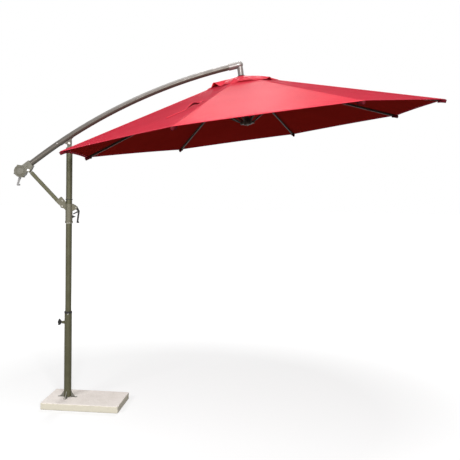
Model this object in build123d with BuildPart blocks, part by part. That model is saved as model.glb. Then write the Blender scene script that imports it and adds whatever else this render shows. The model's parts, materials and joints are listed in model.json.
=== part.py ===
"""Cantilever patio umbrella: stone base, swivelling mast, tilting boom and a folding eight-gore canopy.

Millimetres. The origin is on the mast's axis at the floor, +X runs along the boom and +Z is up.
The umbrella stands open, with its canopy tilted a little toward the mast.
"""

import os
from math import atan, atan2, cos, degrees, hypot, radians, sin, tan

from build123d import *

os.makedirs("parts", exist_ok=True)

# Clearances
FIT = 0.05
RUN_GAP = 0.5
SOFT_GAP = 0.35
SEAM_GAP = 0.6

# Base
SLAB_LENGTH = 616
SLAB_WIDTH = 378
SLAB_THICKNESS = 54
SLAB_REAR = 158
SLAB_TURN = -8
SLAB_CHAMFER = 4
SOCKET_DEPTH = 40
LOWER_OD = 58
LOWER_WALL = 2
LOWER_TOP = 731
GUSSET_REACH = 31
GUSSET_HEIGHT = 48
GUSSET_THICKNESS = 4
TAB_LENGTH = 17
TAB_WIDTH = 22
TAB_THICKNESS = 3
ANCHOR_D = 8
ANCHOR_LENGTH = 34
ANCHOR_HEAD_D = 15
ANCHOR_HEAD = 5

# Collar and clamp
COLLAR_RIM = 1.8
COLLAR_HEIGHT = 15
BUSH_LENGTH = 50
KNOB_HEIGHT = 656
BOSS_D = 24
BOSS_LENGTH = 18
STUD_D = 10
STUD_REACH = 35
KNOB_D = 38
KNOB_LOBE_D = 15
KNOB_LOBES = 5
KNOB_LENGTH = 30
KNOB_NECK_D = 18
KNOB_NECK = 13
KNOB_FACE_D = 20
KNOB_FACE = 6

# Mast
MAST_OD = 48
MAST_WALL = 1.5
PIVOT_HEIGHT = 2075
INDEX_HOLE_D = 8
INDEX_HOLES = 6
INDEX_PITCH = 33
INDEX_TOP = PIVOT_HEIGHT - 389
INDEX_TURN = 40
HEAD_PLUG = 45
HEAD_FLANGE = 8
HEAD_FLANGE_D = 54
TONGUE_THICKNESS = 16
TONGUE_R = 17
TONGUE_RISE = 34
PIVOT_D = 10
PIVOT_HEAD_D = 18
PIVOT_HEAD = 6

# Boom
BOOM_OD = 46
BOOM_WALL = 1.6
BOOM_OFFSET = 45
BOOM_SLOPE = 34.7
BOOM_RADIUS = 4170
BEND_REAR = 250
BEND_FRONT = 1390
ELBOW_DISTANCE = 1486
TUBE_REAR = 365
SADDLE_WALL = 3
SADDLE_REAR = 62
SADDLE_FRONT = 48
CHEEK_THICKNESS = 4
CHEEK_LENGTH = 70

# Winch housing
DRUM_DISTANCE = 437
DRUM_R = 47
HOUSING_HALF = 30
HOUSING_WALL = 3.5
NECK_LENGTH = 30
NECK_R = 28
STRUT_PIN_BACK = 381
STRUT_PIN_DROP = 32
STRUT_PIN_D = 8
LUG_R = 15
SCREW_D = 4
SCREW_HEAD_D = 9
SCREW_HEAD = 3
EAR_R = 6
EAR_ANGLES = (75, 165, 255)

# Winch
SHAFT_D = 12
SPOOL_R = 14
SPOOL_FLANGE_R = 30
SPOOL_WIDTH = 30
SPOOL_FLANGE = 3
CRANK_LENGTH = 112
CRANK_WIDTH = 13
CRANK_THICKNESS = 6
CRANK_HUB_R = 13
CRANK_LEAN = 18
CRANK_STANDOFF = 3
GRIP_D = 15
GRIP_LENGTH = 56
GRIP_POST_D = 7

# Slider and strut
SLEEVE_OD = 55
SLEEVE_LENGTH = 150
SLEEVE_TOP = PIVOT_HEIGHT - 473
SLEEVE_CLEAR = 0.1
LIP_D = 61
LIP_HEIGHT = 12
STRUT_FOOT_OUT = 50
STRUT_FOOT_DROP = 20
STRUT_HEIGHT = 30
STRUT_WIDTH = 20
STRUT_WALL = 1.5
STRUT_EYE_R = 12
STRUT_EYE_THICKNESS = 16
STRUT_FOOT_R = 17
STRUT_FOOT_THICKNESS = 19
STRUT_FOOT_PIN_D = 10
STRUT_SLOT_PLAY = 6
STRUT_SIDE_PLAY = 3
STRUT_END_LENGTH = 28
STRUT_PLUG = 32
BRACKET_THICKNESS = 3.5
BRACKET_REACH = 62
BRACKET_RIVET_D = 8
BRACKET_RIVET_UP = 44

# Clamp lever
LEVER_OUT = 56
LEVER_DROP = 29
LEVER_PIN_D = 8
LEVER_THICKNESS = 16
LEVER_HUB_R = 11
LEVER_LENGTH = 116
LEVER_BULGE = 21
LEVER_ARM_R = 6
LEVER_FLARE = 7
PRONG_R = 4
PRONG_IN = 20
PRONG_DROP = 50
STOP_DROP = 73
STOP_REACH = 25
STOP_HEIGHT = 26
STOP_WIDTH = 18
SHOE_WIDTH = 16
SHOE_HEIGHT = 44
SHOE_THICKNESS = 6

# Canopy frame
CANOPY_TILT = 9.25
CANOPY_R = 1500
CANOPY_RISE = 437
APEX_DROP = 88
RIBS = 8
POLE_OD = 38
POLE_WALL = 1.5
POLE_END = 12
ELBOW_WALL = 4
ELBOW_SOCKET = 52
ELBOW_LEG = 84
BOOM_END_BACK = 38
POLE_TOP_DROP = 24
HUB_PIVOT_R = 46
HUB_R = 58
HUB_CORE_R = 31
HUB_HALF = 10
HUB_PIN_D = 5
HUB_PIN_LENGTH = 24
RIB_HEIGHT = 18
RIB_WIDTH = 10
RIB_WALL = 0.8
RIB_EYE_R = 8
RIB_ROOT = 17
RIB_PLUG = 30
RIB_TIP = 12
STRETCHER_AT = 380
STRETCHER_PIN_DROP = 18
STRETCHER_SIZE = 12
STRETCHER_WALL = 1
STRETCHER_PIN_D = 5
STRETCHER_EYE_R = 6.5
STRETCHER_END = 34
STRETCHER_PLUG = 22
STRETCHER_BLADE = 5
TRUNNION_LENGTH = 17
EAR_THICKNESS = 2
RUNNER_DROP = 345
RUNNER_PIVOT_R = 46
RUNNER_NOTCH_R = 51
RUNNER_SKIRT = 40
RUNNER_FLOOR = 4

# Cord
CORD_D = 4
SHEAVE_R = 14
SHEAVE_WIDTH = 8
SHEAVE_LIP = 2.5
SHEAVE_AXLE_D = 6

# Cloth
CLOTH = 1
HEM_SAG = 12
INNER_R = 125
VENT_R = 268
VENT_INNER_R = 30
VENT_RISE = 12
STRAP_WIDTH = 24
STRAP_LENGTH = 285
STRAP_DOWN = 990
STRAP_ACROSS = 265
STRAP_TURN = -22


def side_plane(point, slope=0.0):
    """Plane of the boom through a point: local x runs up the slope, local y square above it, normal -Y."""
    angle = radians(slope)
    return Plane(origin=(point[0], 0, point[1]), x_dir=(cos(angle), 0, sin(angle)), z_dir=(0, -1, 0))


def step_from(point, slope, along, above=0.0):
    """Point reached from another by going along a slope and square above it."""
    angle = radians(slope)
    x = point[0] + along * cos(angle) - above * sin(angle)
    z = point[1] + along * sin(angle) + above * cos(angle)
    return x, z


def boom_slope(distance):
    """Slope of the boom's centreline, by its length forward from the saddle."""
    bent = min(max(distance, -BEND_REAR), BEND_FRONT)
    return BOOM_SLOPE - degrees(bent / BOOM_RADIUS)


def boom_at(distance, above=0.0):
    """Point on the boom's centreline, or square above it, by its length forward from the saddle."""
    bent = min(max(distance, -BEND_REAR), BEND_FRONT)
    slope = boom_slope(distance)
    saddle = step_from((0, PIVOT_HEIGHT), BOOM_SLOPE, 0, BOOM_OFFSET)
    x = saddle[0] + BOOM_RADIUS * (sin(radians(BOOM_SLOPE)) - sin(radians(slope)))
    z = saddle[1] + BOOM_RADIUS * (cos(radians(slope)) - cos(radians(BOOM_SLOPE)))
    return step_from((x, z), slope, distance - bent, above)


def cross_plane(point, slope):
    """Plane square to a slope in the boom's plane: local x runs along +Y and local y square above it."""
    angle = radians(slope)
    return Plane(origin=(point[0], 0, point[1]), x_dir=(0, 1, 0), z_dir=(cos(angle), 0, sin(angle)))


# Places in the boom's plane
saddle_plane = side_plane((0, PIVOT_HEIGHT), BOOM_SLOPE)
rear_slope = boom_slope(-DRUM_DISTANCE)
drum_centre = boom_at(-DRUM_DISTANCE)
drum_plane = side_plane(drum_centre, rear_slope)
strut_pin = boom_at(-STRUT_PIN_BACK, -STRUT_PIN_DROP)
strut_pin_local = (DRUM_DISTANCE - STRUT_PIN_BACK, -STRUT_PIN_DROP)
strut_foot = (-STRUT_FOOT_OUT, SLEEVE_TOP - STRUT_FOOT_DROP)
strut_length = hypot(strut_foot[0] - strut_pin[0], strut_foot[1] - strut_pin[1])
strut_slope = degrees(atan2(strut_foot[1] - strut_pin[1], strut_foot[0] - strut_pin[0]))
strut_plane = side_plane(strut_pin, strut_slope)
lever_pin = (LEVER_OUT, SLEEVE_TOP - LEVER_DROP)
elbow = boom_at(ELBOW_DISTANCE)
front_slope = boom_slope(ELBOW_DISTANCE)

# Places in the canopy
tilt = radians(CANOPY_TILT)
apex = (elbow[0] + APEX_DROP * sin(tilt), 0, elbow[1] - APEX_DROP * cos(tilt))
axis_up = Vector(-sin(tilt), 0, cos(tilt))
canopy_plane = Plane(origin=apex, x_dir=(cos(tilt), 0, sin(tilt)), z_dir=axis_up)
half_gore = 180 / RIBS
rib_slope = degrees(atan(CANOPY_RISE / CANOPY_R))
gore_slope = degrees(atan(CANOPY_RISE / CANOPY_R / cos(radians(half_gore))))
ridge_dip = sin(radians(gore_slope)) * sin(radians(half_gore)) * RIB_WIDTH / 2
rib_drop = RIB_HEIGHT / 2 + CLOTH + ridge_dip + SOFT_GAP
hub_level = -HUB_PIVOT_R * tan(radians(rib_slope)) - rib_drop / cos(radians(rib_slope))
runner_level = hub_level - RUNNER_DROP
rib_angles = [half_gore + 2 * half_gore * index for index in range(RIBS)]
cord_line = SPOOL_R + CORD_D / 2 + SOFT_GAP


def spoke(angle):
    """Outward direction in the canopy's level plane at an angle around its axis."""
    return canopy_plane.x_dir.rotate(Axis((0, 0, 0), axis_up), angle)


def spoke_plane(angle, radius, level, slope=0.0):
    """Upright plane through the canopy's axis, at a point, with local x going outward and down the slope."""
    outward = spoke(angle)
    origin = Vector(*apex) + outward * radius + axis_up * level
    along = outward * cos(radians(slope)) - axis_up * sin(radians(slope))
    return Plane(origin=origin, x_dir=along, z_dir=outward.cross(axis_up))


def gore_plane(angle, rise=0.0):
    """Plane of one gore: local x runs from the apex down its middle, and the normal points out."""
    outward = spoke(angle)
    lean = radians(gore_slope)
    return Plane(
        origin=Vector(*apex) + axis_up * rise,
        x_dir=outward * cos(lean) - axis_up * sin(lean),
        z_dir=outward * sin(lean) + axis_up * cos(lean),
    )


def gore_corner(radius):
    """Distance down a gore's middle, and half its width, at the rim of this corner radius."""
    down = radius * cos(radians(half_gore)) / cos(radians(gore_slope))
    return down, radius * sin(radians(half_gore)) - SEAM_GAP / 2


# Stretcher angle from where it hangs on the rib to its seat in the runner
rib_pin_radius = (
    HUB_PIVOT_R
    + STRETCHER_AT * cos(radians(rib_slope))
    - STRETCHER_PIN_DROP * sin(radians(rib_slope))
)
rib_pin_level = (
    hub_level - STRETCHER_AT * sin(radians(rib_slope)) - STRETCHER_PIN_DROP * cos(radians(rib_slope))
)
stretcher_length = hypot(rib_pin_radius - RUNNER_PIVOT_R, rib_pin_level - runner_level)
stretcher_slope = degrees(atan2(rib_pin_level - runner_level, rib_pin_radius - RUNNER_PIVOT_R))

# Base slab with a socket for the pole and four anchor holes
base_plane = Plane.XY.rotated((0, 0, SLAB_TURN))
slab_top = base_plane.offset(SLAB_THICKNESS)
socket_floor = SLAB_THICKNESS - SOCKET_DEPTH
anchor_radius = LOWER_OD / 2 + GUSSET_REACH + TAB_LENGTH / 2
with BuildPart() as base_slab:
    with BuildSketch(base_plane):
        with Locations((SLAB_LENGTH / 2 - SLAB_REAR, 0)):
            Rectangle(SLAB_LENGTH, SLAB_WIDTH)
    extrude(amount=SLAB_THICKNESS)
    chamfer(base_slab.edges().filter_by(Axis.Z), SLAB_CHAMFER)
    chamfer(base_slab.faces().sort_by(Axis.Z)[-1].edges(), SLAB_CHAMFER)
    with BuildSketch(slab_top):
        Circle(LOWER_OD / 2 + FIT)
    extrude(amount=-SOCKET_DEPTH, mode=Mode.SUBTRACT)
    with BuildSketch(slab_top):
        with PolarLocations(anchor_radius, 4):
            Circle(ANCHOR_D / 2 + FIT)
    extrude(amount=-ANCHOR_LENGTH, mode=Mode.SUBTRACT)
base_slab.part.label = "base_slab"
export_step(base_slab.part, "parts/base_slab.step")

# Four gussets around the pole's foot, each on a drilled tab
with BuildPart() as foot_gussets:
    for quarter in range(4):
        turn = radians(SLAB_TURN + 90 * quarter)
        outward = (cos(turn), sin(turn), 0)
        fin_plane = Plane(origin=(0, 0, SLAB_THICKNESS), x_dir=outward, z_dir=(sin(turn), -cos(turn), 0))
        root = LOWER_OD / 2 + FIT
        with BuildSketch(fin_plane):
            with BuildLine():
                Polyline(
                    (root, 0),
                    (root + GUSSET_REACH, 0),
                    (root + GUSSET_REACH, TAB_THICKNESS),
                    (root, GUSSET_HEIGHT),
                    close=True,
                )
            make_face()
        extrude(amount=GUSSET_THICKNESS / 2, both=True)
        with BuildSketch(fin_plane):
            with Locations((root + GUSSET_REACH + TAB_LENGTH / 2 - GUSSET_REACH / 2, TAB_THICKNESS / 2)):
                Rectangle(TAB_LENGTH + GUSSET_REACH, TAB_THICKNESS)
        extrude(amount=TAB_WIDTH / 2, both=True)
    with BuildSketch(slab_top):
        Circle(LOWER_OD / 2 + FIT)
    extrude(amount=GUSSET_HEIGHT, mode=Mode.SUBTRACT)
    with BuildSketch(slab_top):
        with PolarLocations(anchor_radius, 4):
            Circle(ANCHOR_D / 2 + FIT)
    extrude(amount=TAB_THICKNESS, mode=Mode.SUBTRACT)
foot_gussets.part.label = "foot_gussets"
export_step(foot_gussets.part, "parts/foot_gussets.step")

# Four anchor bolts through the tabs into the slab
with BuildPart() as anchor_bolts:
    with BuildSketch(slab_top.offset(TAB_THICKNESS)):
        with PolarLocations(anchor_radius, 4):
            RegularPolygon(ANCHOR_HEAD_D / 2, 6)
    extrude(amount=ANCHOR_HEAD)
    with BuildSketch(slab_top.offset(TAB_THICKNESS)):
        with PolarLocations(anchor_radius, 4):
            Circle(ANCHOR_D / 2)
    extrude(amount=-(TAB_THICKNESS + ANCHOR_LENGTH - RUN_GAP))
anchor_bolts.part.label = "anchor_bolts"
export_step(anchor_bolts.part, "parts/anchor_bolts.step")

# Lower pole with the welded boss of the clamp screw
boss_turn = radians(SLAB_TURN + 180)
boss_plane = Plane(
    origin=(0, 0, KNOB_HEIGHT),
    x_dir=(0, 0, 1),
    z_dir=(cos(boss_turn), sin(boss_turn), 0),
)
with BuildPart() as lower_pole:
    with BuildSketch(Plane.XY.offset(socket_floor)):
        Circle(LOWER_OD / 2)
    extrude(amount=LOWER_TOP - socket_floor)
    with BuildSketch(boss_plane):
        Circle(BOSS_D / 2)
    extrude(amount=LOWER_OD / 2 + BOSS_LENGTH)
    with BuildSketch(Plane.XY.offset(socket_floor)):
        Circle(LOWER_OD / 2 - LOWER_WALL)
    extrude(amount=LOWER_TOP - socket_floor, mode=Mode.SUBTRACT)
    with BuildSketch(boss_plane):
        Circle(STUD_D / 2 + FIT)
    extrude(amount=LOWER_OD / 2 + BOSS_LENGTH, mode=Mode.SUBTRACT)
lower_pole.part.label = "lower_pole"
export_step(lower_pole.part, "parts/lower_pole.step")

# Collar on the lower pole, with the bush that the mast turns in
with BuildPart() as pole_collar:
    with BuildSketch(Plane.XY.offset(LOWER_TOP)):
        Circle(LOWER_OD / 2 + COLLAR_RIM)
        Circle(MAST_OD / 2 + FIT, mode=Mode.SUBTRACT)
    extrude(amount=COLLAR_HEIGHT)
    with BuildSketch(Plane.XY.offset(LOWER_TOP)):
        Circle(LOWER_OD / 2 - LOWER_WALL - FIT)
        Circle(MAST_OD / 2 + FIT, mode=Mode.SUBTRACT)
    extrude(amount=-BUSH_LENGTH)
    fillet(pole_collar.edges().group_by(Axis.Z)[-1].sort_by(SortBy.LENGTH)[-1], COLLAR_RIM / 2)
pole_collar.part.label = "pole_collar"
export_step(pole_collar.part, "parts/pole_collar.step")

# Clamp knob and its stud, which turn together in the boss
stud_start = MAST_OD / 2 + SOFT_GAP
knob_start = LOWER_OD / 2 + BOSS_LENGTH + STUD_REACH - KNOB_LENGTH
with BuildPart() as knob_stud:
    with BuildSketch(boss_plane.offset(stud_start)):
        Circle(STUD_D / 2)
    extrude(amount=knob_start + KNOB_LENGTH / 2 - stud_start)
knob_stud.part.label = "knob_stud"
export_step(knob_stud.part, "parts/knob_stud.step")

with BuildPart() as clamp_knob:
    with BuildSketch(boss_plane.offset(knob_start)):
        Circle(KNOB_NECK_D / 2)
    with BuildSketch(boss_plane.offset(knob_start + KNOB_NECK)):
        Circle(KNOB_D / 2)
    loft()
    with BuildSketch(boss_plane.offset(knob_start + KNOB_NECK)):
        Circle(KNOB_D / 2)
        with PolarLocations(KNOB_D / 2, KNOB_LOBES):
            Circle(KNOB_LOBE_D / 2)
    extrude(amount=KNOB_LENGTH - KNOB_NECK - KNOB_FACE)
    with BuildSketch(boss_plane.offset(knob_start + KNOB_LENGTH - KNOB_FACE)):
        Circle(KNOB_D / 2)
    with BuildSketch(boss_plane.offset(knob_start + KNOB_LENGTH)):
        Circle(KNOB_FACE_D / 2)
    loft()
    with BuildSketch(boss_plane.offset(knob_start)):
        Circle(STUD_D / 2 + FIT)
    extrude(amount=KNOB_LENGTH / 2 + FIT, mode=Mode.SUBTRACT)
clamp_knob.part.label = "clamp_knob"
export_step(clamp_knob.part, "parts/clamp_knob.step")

# Upper pole with a row of index holes in its front side, turned towards the rear
mast_top = PIVOT_HEIGHT - TONGUE_RISE - HEAD_FLANGE
mast_bottom = socket_floor + RUN_GAP
index_turn = radians(INDEX_TURN)
index_plane = Plane(
    origin=(0, 0, INDEX_TOP),
    x_dir=(cos(index_turn), -sin(index_turn), 0),
    z_dir=(-sin(index_turn), -cos(index_turn), 0),
)
with BuildPart() as upper_pole:
    with BuildSketch(Plane.XY.offset(mast_bottom)):
        Circle(MAST_OD / 2)
        Circle(MAST_OD / 2 - MAST_WALL, mode=Mode.SUBTRACT)
    extrude(amount=mast_top - mast_bottom)
    with BuildSketch(index_plane):
        with Locations(*[(0, -INDEX_PITCH * row) for row in range(INDEX_HOLES)]):
            Circle(INDEX_HOLE_D / 2)
    extrude(amount=MAST_OD, mode=Mode.SUBTRACT)
upper_pole.part.label = "upper_pole"
export_step(upper_pole.part, "parts/upper_pole.step")

# Mast head: a plug in the pole, a flange on its rim and the tongue of the boom's pivot
with BuildPart() as mast_head:
    with BuildSketch(Plane.XY.offset(mast_top)):
        Circle(MAST_OD / 2 - MAST_WALL - FIT)
    extrude(amount=-HEAD_PLUG)
    with BuildSketch(Plane.XY.offset(mast_top)):
        Circle(HEAD_FLANGE_D / 2)
    extrude(amount=HEAD_FLANGE)
    with BuildSketch(side_plane((0, PIVOT_HEIGHT))):
        Circle(TONGUE_R)
        with Locations((0, -TONGUE_RISE / 2)):
            Rectangle(2 * TONGUE_R, TONGUE_RISE)
    extrude(amount=TONGUE_THICKNESS / 2, both=True)
    with BuildSketch(side_plane((0, PIVOT_HEIGHT))):
        Circle(PIVOT_D / 2 + FIT)
    extrude(amount=TONGUE_THICKNESS, both=True, mode=Mode.SUBTRACT)
mast_head.part.label = "mast_head"
export_step(mast_head.part, "parts/mast_head.step")

# Boom: one bent tube, straight at both ends
boom_start = -TUBE_REAR
boom_end = ELBOW_DISTANCE - BOOM_END_BACK
bend_middle = (BEND_FRONT - BEND_REAR) / 2
with BuildPart() as boom_tube:
    with BuildLine(side_plane((0, 0))) as boom_path:
        Line(boom_at(boom_start), boom_at(-BEND_REAR))
        ThreePointArc(boom_at(-BEND_REAR), boom_at(bend_middle), boom_at(BEND_FRONT))
        Line(boom_at(BEND_FRONT), boom_at(boom_end))
    with BuildSketch(cross_plane(boom_at(boom_start), rear_slope)):
        Circle(BOOM_OD / 2)
        Circle(BOOM_OD / 2 - BOOM_WALL, mode=Mode.SUBTRACT)
    sweep(path=boom_path.wire())
boom_tube.part.label = "boom_tube"
export_step(boom_tube.part, "parts/boom_tube.step")

# Saddle under the boom, with two cheeks around the mast head's tongue
saddle_r = BOOM_OD / 2 + SADDLE_WALL
cheek_in = TONGUE_THICKNESS / 2 + RUN_GAP
saddle_mouth = BOOM_OD / 12
with BuildPart() as boom_saddle:
    with BuildLine(side_plane((0, 0))) as saddle_path:
        ThreePointArc(boom_at(-SADDLE_REAR), boom_at(0), boom_at(SADDLE_FRONT))
    with BuildSketch(cross_plane(boom_at(-SADDLE_REAR), boom_slope(-SADDLE_REAR))):
        Circle(saddle_r)
    sweep(path=saddle_path.wire())
    for side in (1, -1):
        with BuildSketch(saddle_plane.offset(side * cheek_in)):
            Circle(TONGUE_R)
            with Locations((0, BOOM_OFFSET - BOOM_OD / 4)):
                Rectangle(CHEEK_LENGTH, BOOM_OD / 2)
            make_hull()
        extrude(amount=side * CHEEK_THICKNESS)
    with BuildLine(side_plane((0, 0))) as bore_path:
        ThreePointArc(boom_at(-BEND_REAR), boom_at(0), boom_at(BEND_REAR))
    with BuildSketch(cross_plane(boom_at(-BEND_REAR), boom_slope(-BEND_REAR))):
        Circle(BOOM_OD / 2 + FIT)
        with Locations((0, saddle_mouth + saddle_r)):
            Rectangle(3 * saddle_r, 2 * saddle_r)
    sweep(path=bore_path.wire(), mode=Mode.SUBTRACT)
    with BuildSketch(saddle_plane):
        Circle(PIVOT_D / 2 + FIT)
    extrude(amount=saddle_r, both=True, mode=Mode.SUBTRACT)
boom_saddle.part.label = "boom_saddle"
export_step(boom_saddle.part, "parts/boom_saddle.step")

# Pivot bolt through the cheeks and the tongue, with its nut
bolt_half = cheek_in + CHEEK_THICKNESS + FIT
with BuildPart() as pivot_bolt:
    with BuildSketch(saddle_plane):
        Circle(PIVOT_D / 2)
    extrude(amount=bolt_half, both=True)
    with BuildSketch(saddle_plane.offset(bolt_half)):
        Circle(PIVOT_HEAD_D / 2)
    extrude(amount=PIVOT_HEAD)
    with BuildSketch(saddle_plane.offset(-bolt_half)):
        RegularPolygon(PIVOT_HEAD_D / 2, 6)
    extrude(amount=-PIVOT_HEAD)
pivot_bolt.part.label = "pivot_bolt"
export_step(pivot_bolt.part, "parts/pivot_bolt.step")

# Winch housing in two halves, which clamp the boom's rear end and hold the strut's upper pin
tube_end = DRUM_DISTANCE - TUBE_REAR
neck_front = tube_end + NECK_LENGTH
slot_half = STRUT_EYE_THICKNESS / 2 + RUN_GAP
screw_spots = [(DRUM_R * cos(radians(a)), DRUM_R * sin(radians(a))) for a in EAR_ANGLES]
screw_spots.append((strut_pin_local[0] + LUG_R / 2, strut_pin_local[1] + 2 * LUG_R))
for side, half_name in ((1, "housing_front"), (-1, "housing_back")):
    with BuildPart() as housing_half:
        with BuildSketch(drum_plane):
            Circle(DRUM_R)
            with Locations(*screw_spots[:-1]):
                Circle(EAR_R)
        extrude(amount=side * HOUSING_HALF)
        with BuildSketch(drum_plane):
            with Locations(strut_pin_local):
                Circle(LUG_R)
            with Locations((neck_front / 2 + DRUM_R / 4, 0)):
                Rectangle(neck_front - DRUM_R / 2, 2 * NECK_R)
            make_hull()
        extrude(amount=side * (NECK_R + FIT))
        with BuildSketch(drum_plane):
            Circle(DRUM_R - HOUSING_WALL)
        extrude(amount=side * (HOUSING_HALF - HOUSING_WALL), mode=Mode.SUBTRACT)
        with BuildSketch(drum_plane.offset(side * (HOUSING_HALF - HOUSING_WALL))):
            Circle(SHAFT_D)
        extrude(amount=-side * (HOUSING_HALF - HOUSING_WALL - SPOOL_WIDTH / 2 - SPOOL_FLANGE - RUN_GAP))
        with BuildSketch(drum_plane):
            Circle(SHAFT_D / 2 + FIT)
        shaft_hole = HOUSING_HALF - HOUSING_WALL if side == 1 else HOUSING_HALF
        extrude(amount=side * shaft_hole, mode=Mode.SUBTRACT)
        with BuildSketch(cross_plane(boom_at(boom_start), rear_slope).offset(-RUN_GAP)):
            Circle(BOOM_OD / 2 + FIT)
        extrude(amount=NECK_LENGTH + 2 * RUN_GAP, mode=Mode.SUBTRACT)
        with BuildSketch(cross_plane(drum_centre, rear_slope)):
            with Locations((0, cord_line)):
                Circle(CORD_D)
        extrude(amount=tube_end, mode=Mode.SUBTRACT)
        with BuildSketch(drum_plane):
            with Locations(strut_pin_local):
                Circle(STRUT_EYE_R + 2 * RUN_GAP)
            with Locations((strut_pin_local[0] + LUG_R / 2, strut_pin_local[1] - LUG_R)):
                Rectangle(3 * LUG_R, 2 * LUG_R)
        extrude(amount=side * slot_half, mode=Mode.SUBTRACT)
        with BuildSketch(drum_plane):
            with Locations(strut_pin_local):
                Circle(STRUT_PIN_D / 2 + FIT)
            with Locations(*screw_spots):
                Circle(SCREW_D / 2 + FIT)
        extrude(amount=side * (HOUSING_HALF + NECK_R), mode=Mode.SUBTRACT)
    housing_half.part.label = half_name
    export_step(housing_half.part, f"parts/{half_name}.step")

# Housing screws with their heads in front
with BuildPart() as housing_screws:
    for spot, half in zip(screw_spots, [HOUSING_HALF] * len(EAR_ANGLES) + [NECK_R + FIT]):
        with BuildSketch(drum_plane.offset(half + FIT)):
            with Locations(spot):
                Circle(SCREW_HEAD_D / 2)
        extrude(amount=SCREW_HEAD)
        with BuildSketch(drum_plane.offset(half + FIT)):
            with Locations(spot):
                Circle(SCREW_D / 2)
        extrude(amount=-(2 * half - SCREW_D))
housing_screws.part.label = "housing_screws"
export_step(housing_screws.part, "parts/housing_screws.step")

# Strut bolt through the lugs of both halves
strut_bolt_half = NECK_R + FIT
with BuildPart() as strut_bolt:
    with BuildSketch(side_plane(strut_pin)):
        Circle(STRUT_PIN_D / 2)
    extrude(amount=strut_bolt_half + FIT, both=True)
    for side in (1, -1):
        with BuildSketch(side_plane(strut_pin).offset(side * (strut_bolt_half + FIT))):
            Circle(STRUT_PIN_D)
        extrude(amount=side * SCREW_HEAD)
strut_bolt.part.label = "strut_bolt"
export_step(strut_bolt.part, "parts/strut_bolt.step")

# Winch: shaft, spool, crank arm and grip
crank_face = HOUSING_HALF + CRANK_STANDOFF
with BuildPart() as winch_shaft:
    with BuildSketch(drum_plane.offset(HOUSING_HALF - HOUSING_WALL - RUN_GAP)):
        Circle(SHAFT_D / 2)
    extrude(amount=-(2 * HOUSING_HALF - HOUSING_WALL - RUN_GAP + CRANK_STANDOFF + CRANK_THICKNESS))
winch_shaft.part.label = "winch_shaft"
export_step(winch_shaft.part, "parts/winch_shaft.step")

with BuildPart() as cord_spool:
    with BuildSketch(drum_plane):
        Circle(SPOOL_R)
    extrude(amount=SPOOL_WIDTH / 2, both=True)
    for side in (1, -1):
        with BuildSketch(drum_plane.offset(side * SPOOL_WIDTH / 2)):
            Circle(SPOOL_FLANGE_R)
        extrude(amount=side * SPOOL_FLANGE)
    with BuildSketch(drum_plane):
        Circle(SHAFT_D / 2 + FIT)
    extrude(amount=SPOOL_WIDTH, both=True, mode=Mode.SUBTRACT)
cord_spool.part.label = "cord_spool"
export_step(cord_spool.part, "parts/cord_spool.step")

crank_plane = side_plane(drum_centre, 270 - CRANK_LEAN).offset(-crank_face)
with BuildPart() as crank_arm:
    with BuildSketch(crank_plane):
        Circle(CRANK_HUB_R)
        with Locations((CRANK_LENGTH, 0)):
            Circle(CRANK_WIDTH / 2)
        make_hull()
    extrude(amount=-CRANK_THICKNESS)
    with BuildSketch(crank_plane.offset(-CRANK_THICKNESS)):
        with Locations((CRANK_LENGTH, 0)):
            Circle(GRIP_POST_D / 2)
    extrude(amount=-(GRIP_LENGTH + RUN_GAP))
    with BuildSketch(crank_plane):
        Circle(SHAFT_D / 2 + FIT)
    extrude(amount=-CRANK_THICKNESS, mode=Mode.SUBTRACT)
crank_arm.part.label = "crank_arm"
export_step(crank_arm.part, "parts/crank_arm.step")

with BuildPart() as crank_grip:
    with BuildSketch(crank_plane.offset(-CRANK_THICKNESS - RUN_GAP)):
        with Locations((CRANK_LENGTH, 0)):
            Circle(GRIP_D / 2)
            Circle(GRIP_POST_D / 2 + FIT, mode=Mode.SUBTRACT)
    extrude(amount=-GRIP_LENGTH)
    fillet(crank_grip.edges().filter_by(GeomType.CIRCLE).sort_by(SortBy.RADIUS)[-2:], GRIP_POST_D / 3)
crank_grip.part.label = "crank_grip"
export_step(crank_grip.part, "parts/crank_grip.step")

# Slider sleeve on the mast, with a lip at the bottom and a window for the brake shoe
sleeve_bottom = SLEEVE_TOP - SLEEVE_LENGTH
with BuildPart() as slider_sleeve:
    with BuildSketch(Plane.XY.offset(sleeve_bottom)):
        Circle(SLEEVE_OD / 2)
    extrude(amount=SLEEVE_LENGTH)
    with BuildSketch(Plane.XY.offset(sleeve_bottom)):
        Circle(LIP_D / 2)
    extrude(amount=LIP_HEIGHT)
    with BuildSketch(Plane.XY.offset(sleeve_bottom)):
        Circle(MAST_OD / 2 + SLEEVE_CLEAR)
    extrude(amount=SLEEVE_LENGTH, mode=Mode.SUBTRACT)
    with BuildSketch(side_plane(lever_pin)):
        with Locations((SLEEVE_OD / 2 - LEVER_OUT, 0)):
            Rectangle(MAST_OD / 2, SHOE_HEIGHT + 2 * FIT)
    extrude(amount=SHOE_WIDTH / 2 + FIT, both=True, mode=Mode.SUBTRACT)
slider_sleeve.part.label = "slider_sleeve"
export_step(slider_sleeve.part, "parts/slider_sleeve.step")

# Brake shoe in the window, pressed on the mast by the lever's cam
shoe_face = MAST_OD / 2 + SOFT_GAP + SHOE_THICKNESS
with BuildPart() as brake_shoe:
    with BuildSketch(side_plane(lever_pin)):
        with Locations((shoe_face - LEVER_OUT - SHOE_THICKNESS, 0)):
            Rectangle(2 * SHOE_THICKNESS, SHOE_HEIGHT)
    extrude(amount=SHOE_WIDTH / 2, both=True)
    with BuildSketch(Plane.XY.offset(sleeve_bottom)):
        Circle(MAST_OD / 2 + SOFT_GAP)
    extrude(amount=SLEEVE_LENGTH, mode=Mode.SUBTRACT)
brake_shoe.part.label = "brake_shoe"
export_step(brake_shoe.part, "parts/brake_shoe.step")

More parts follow.
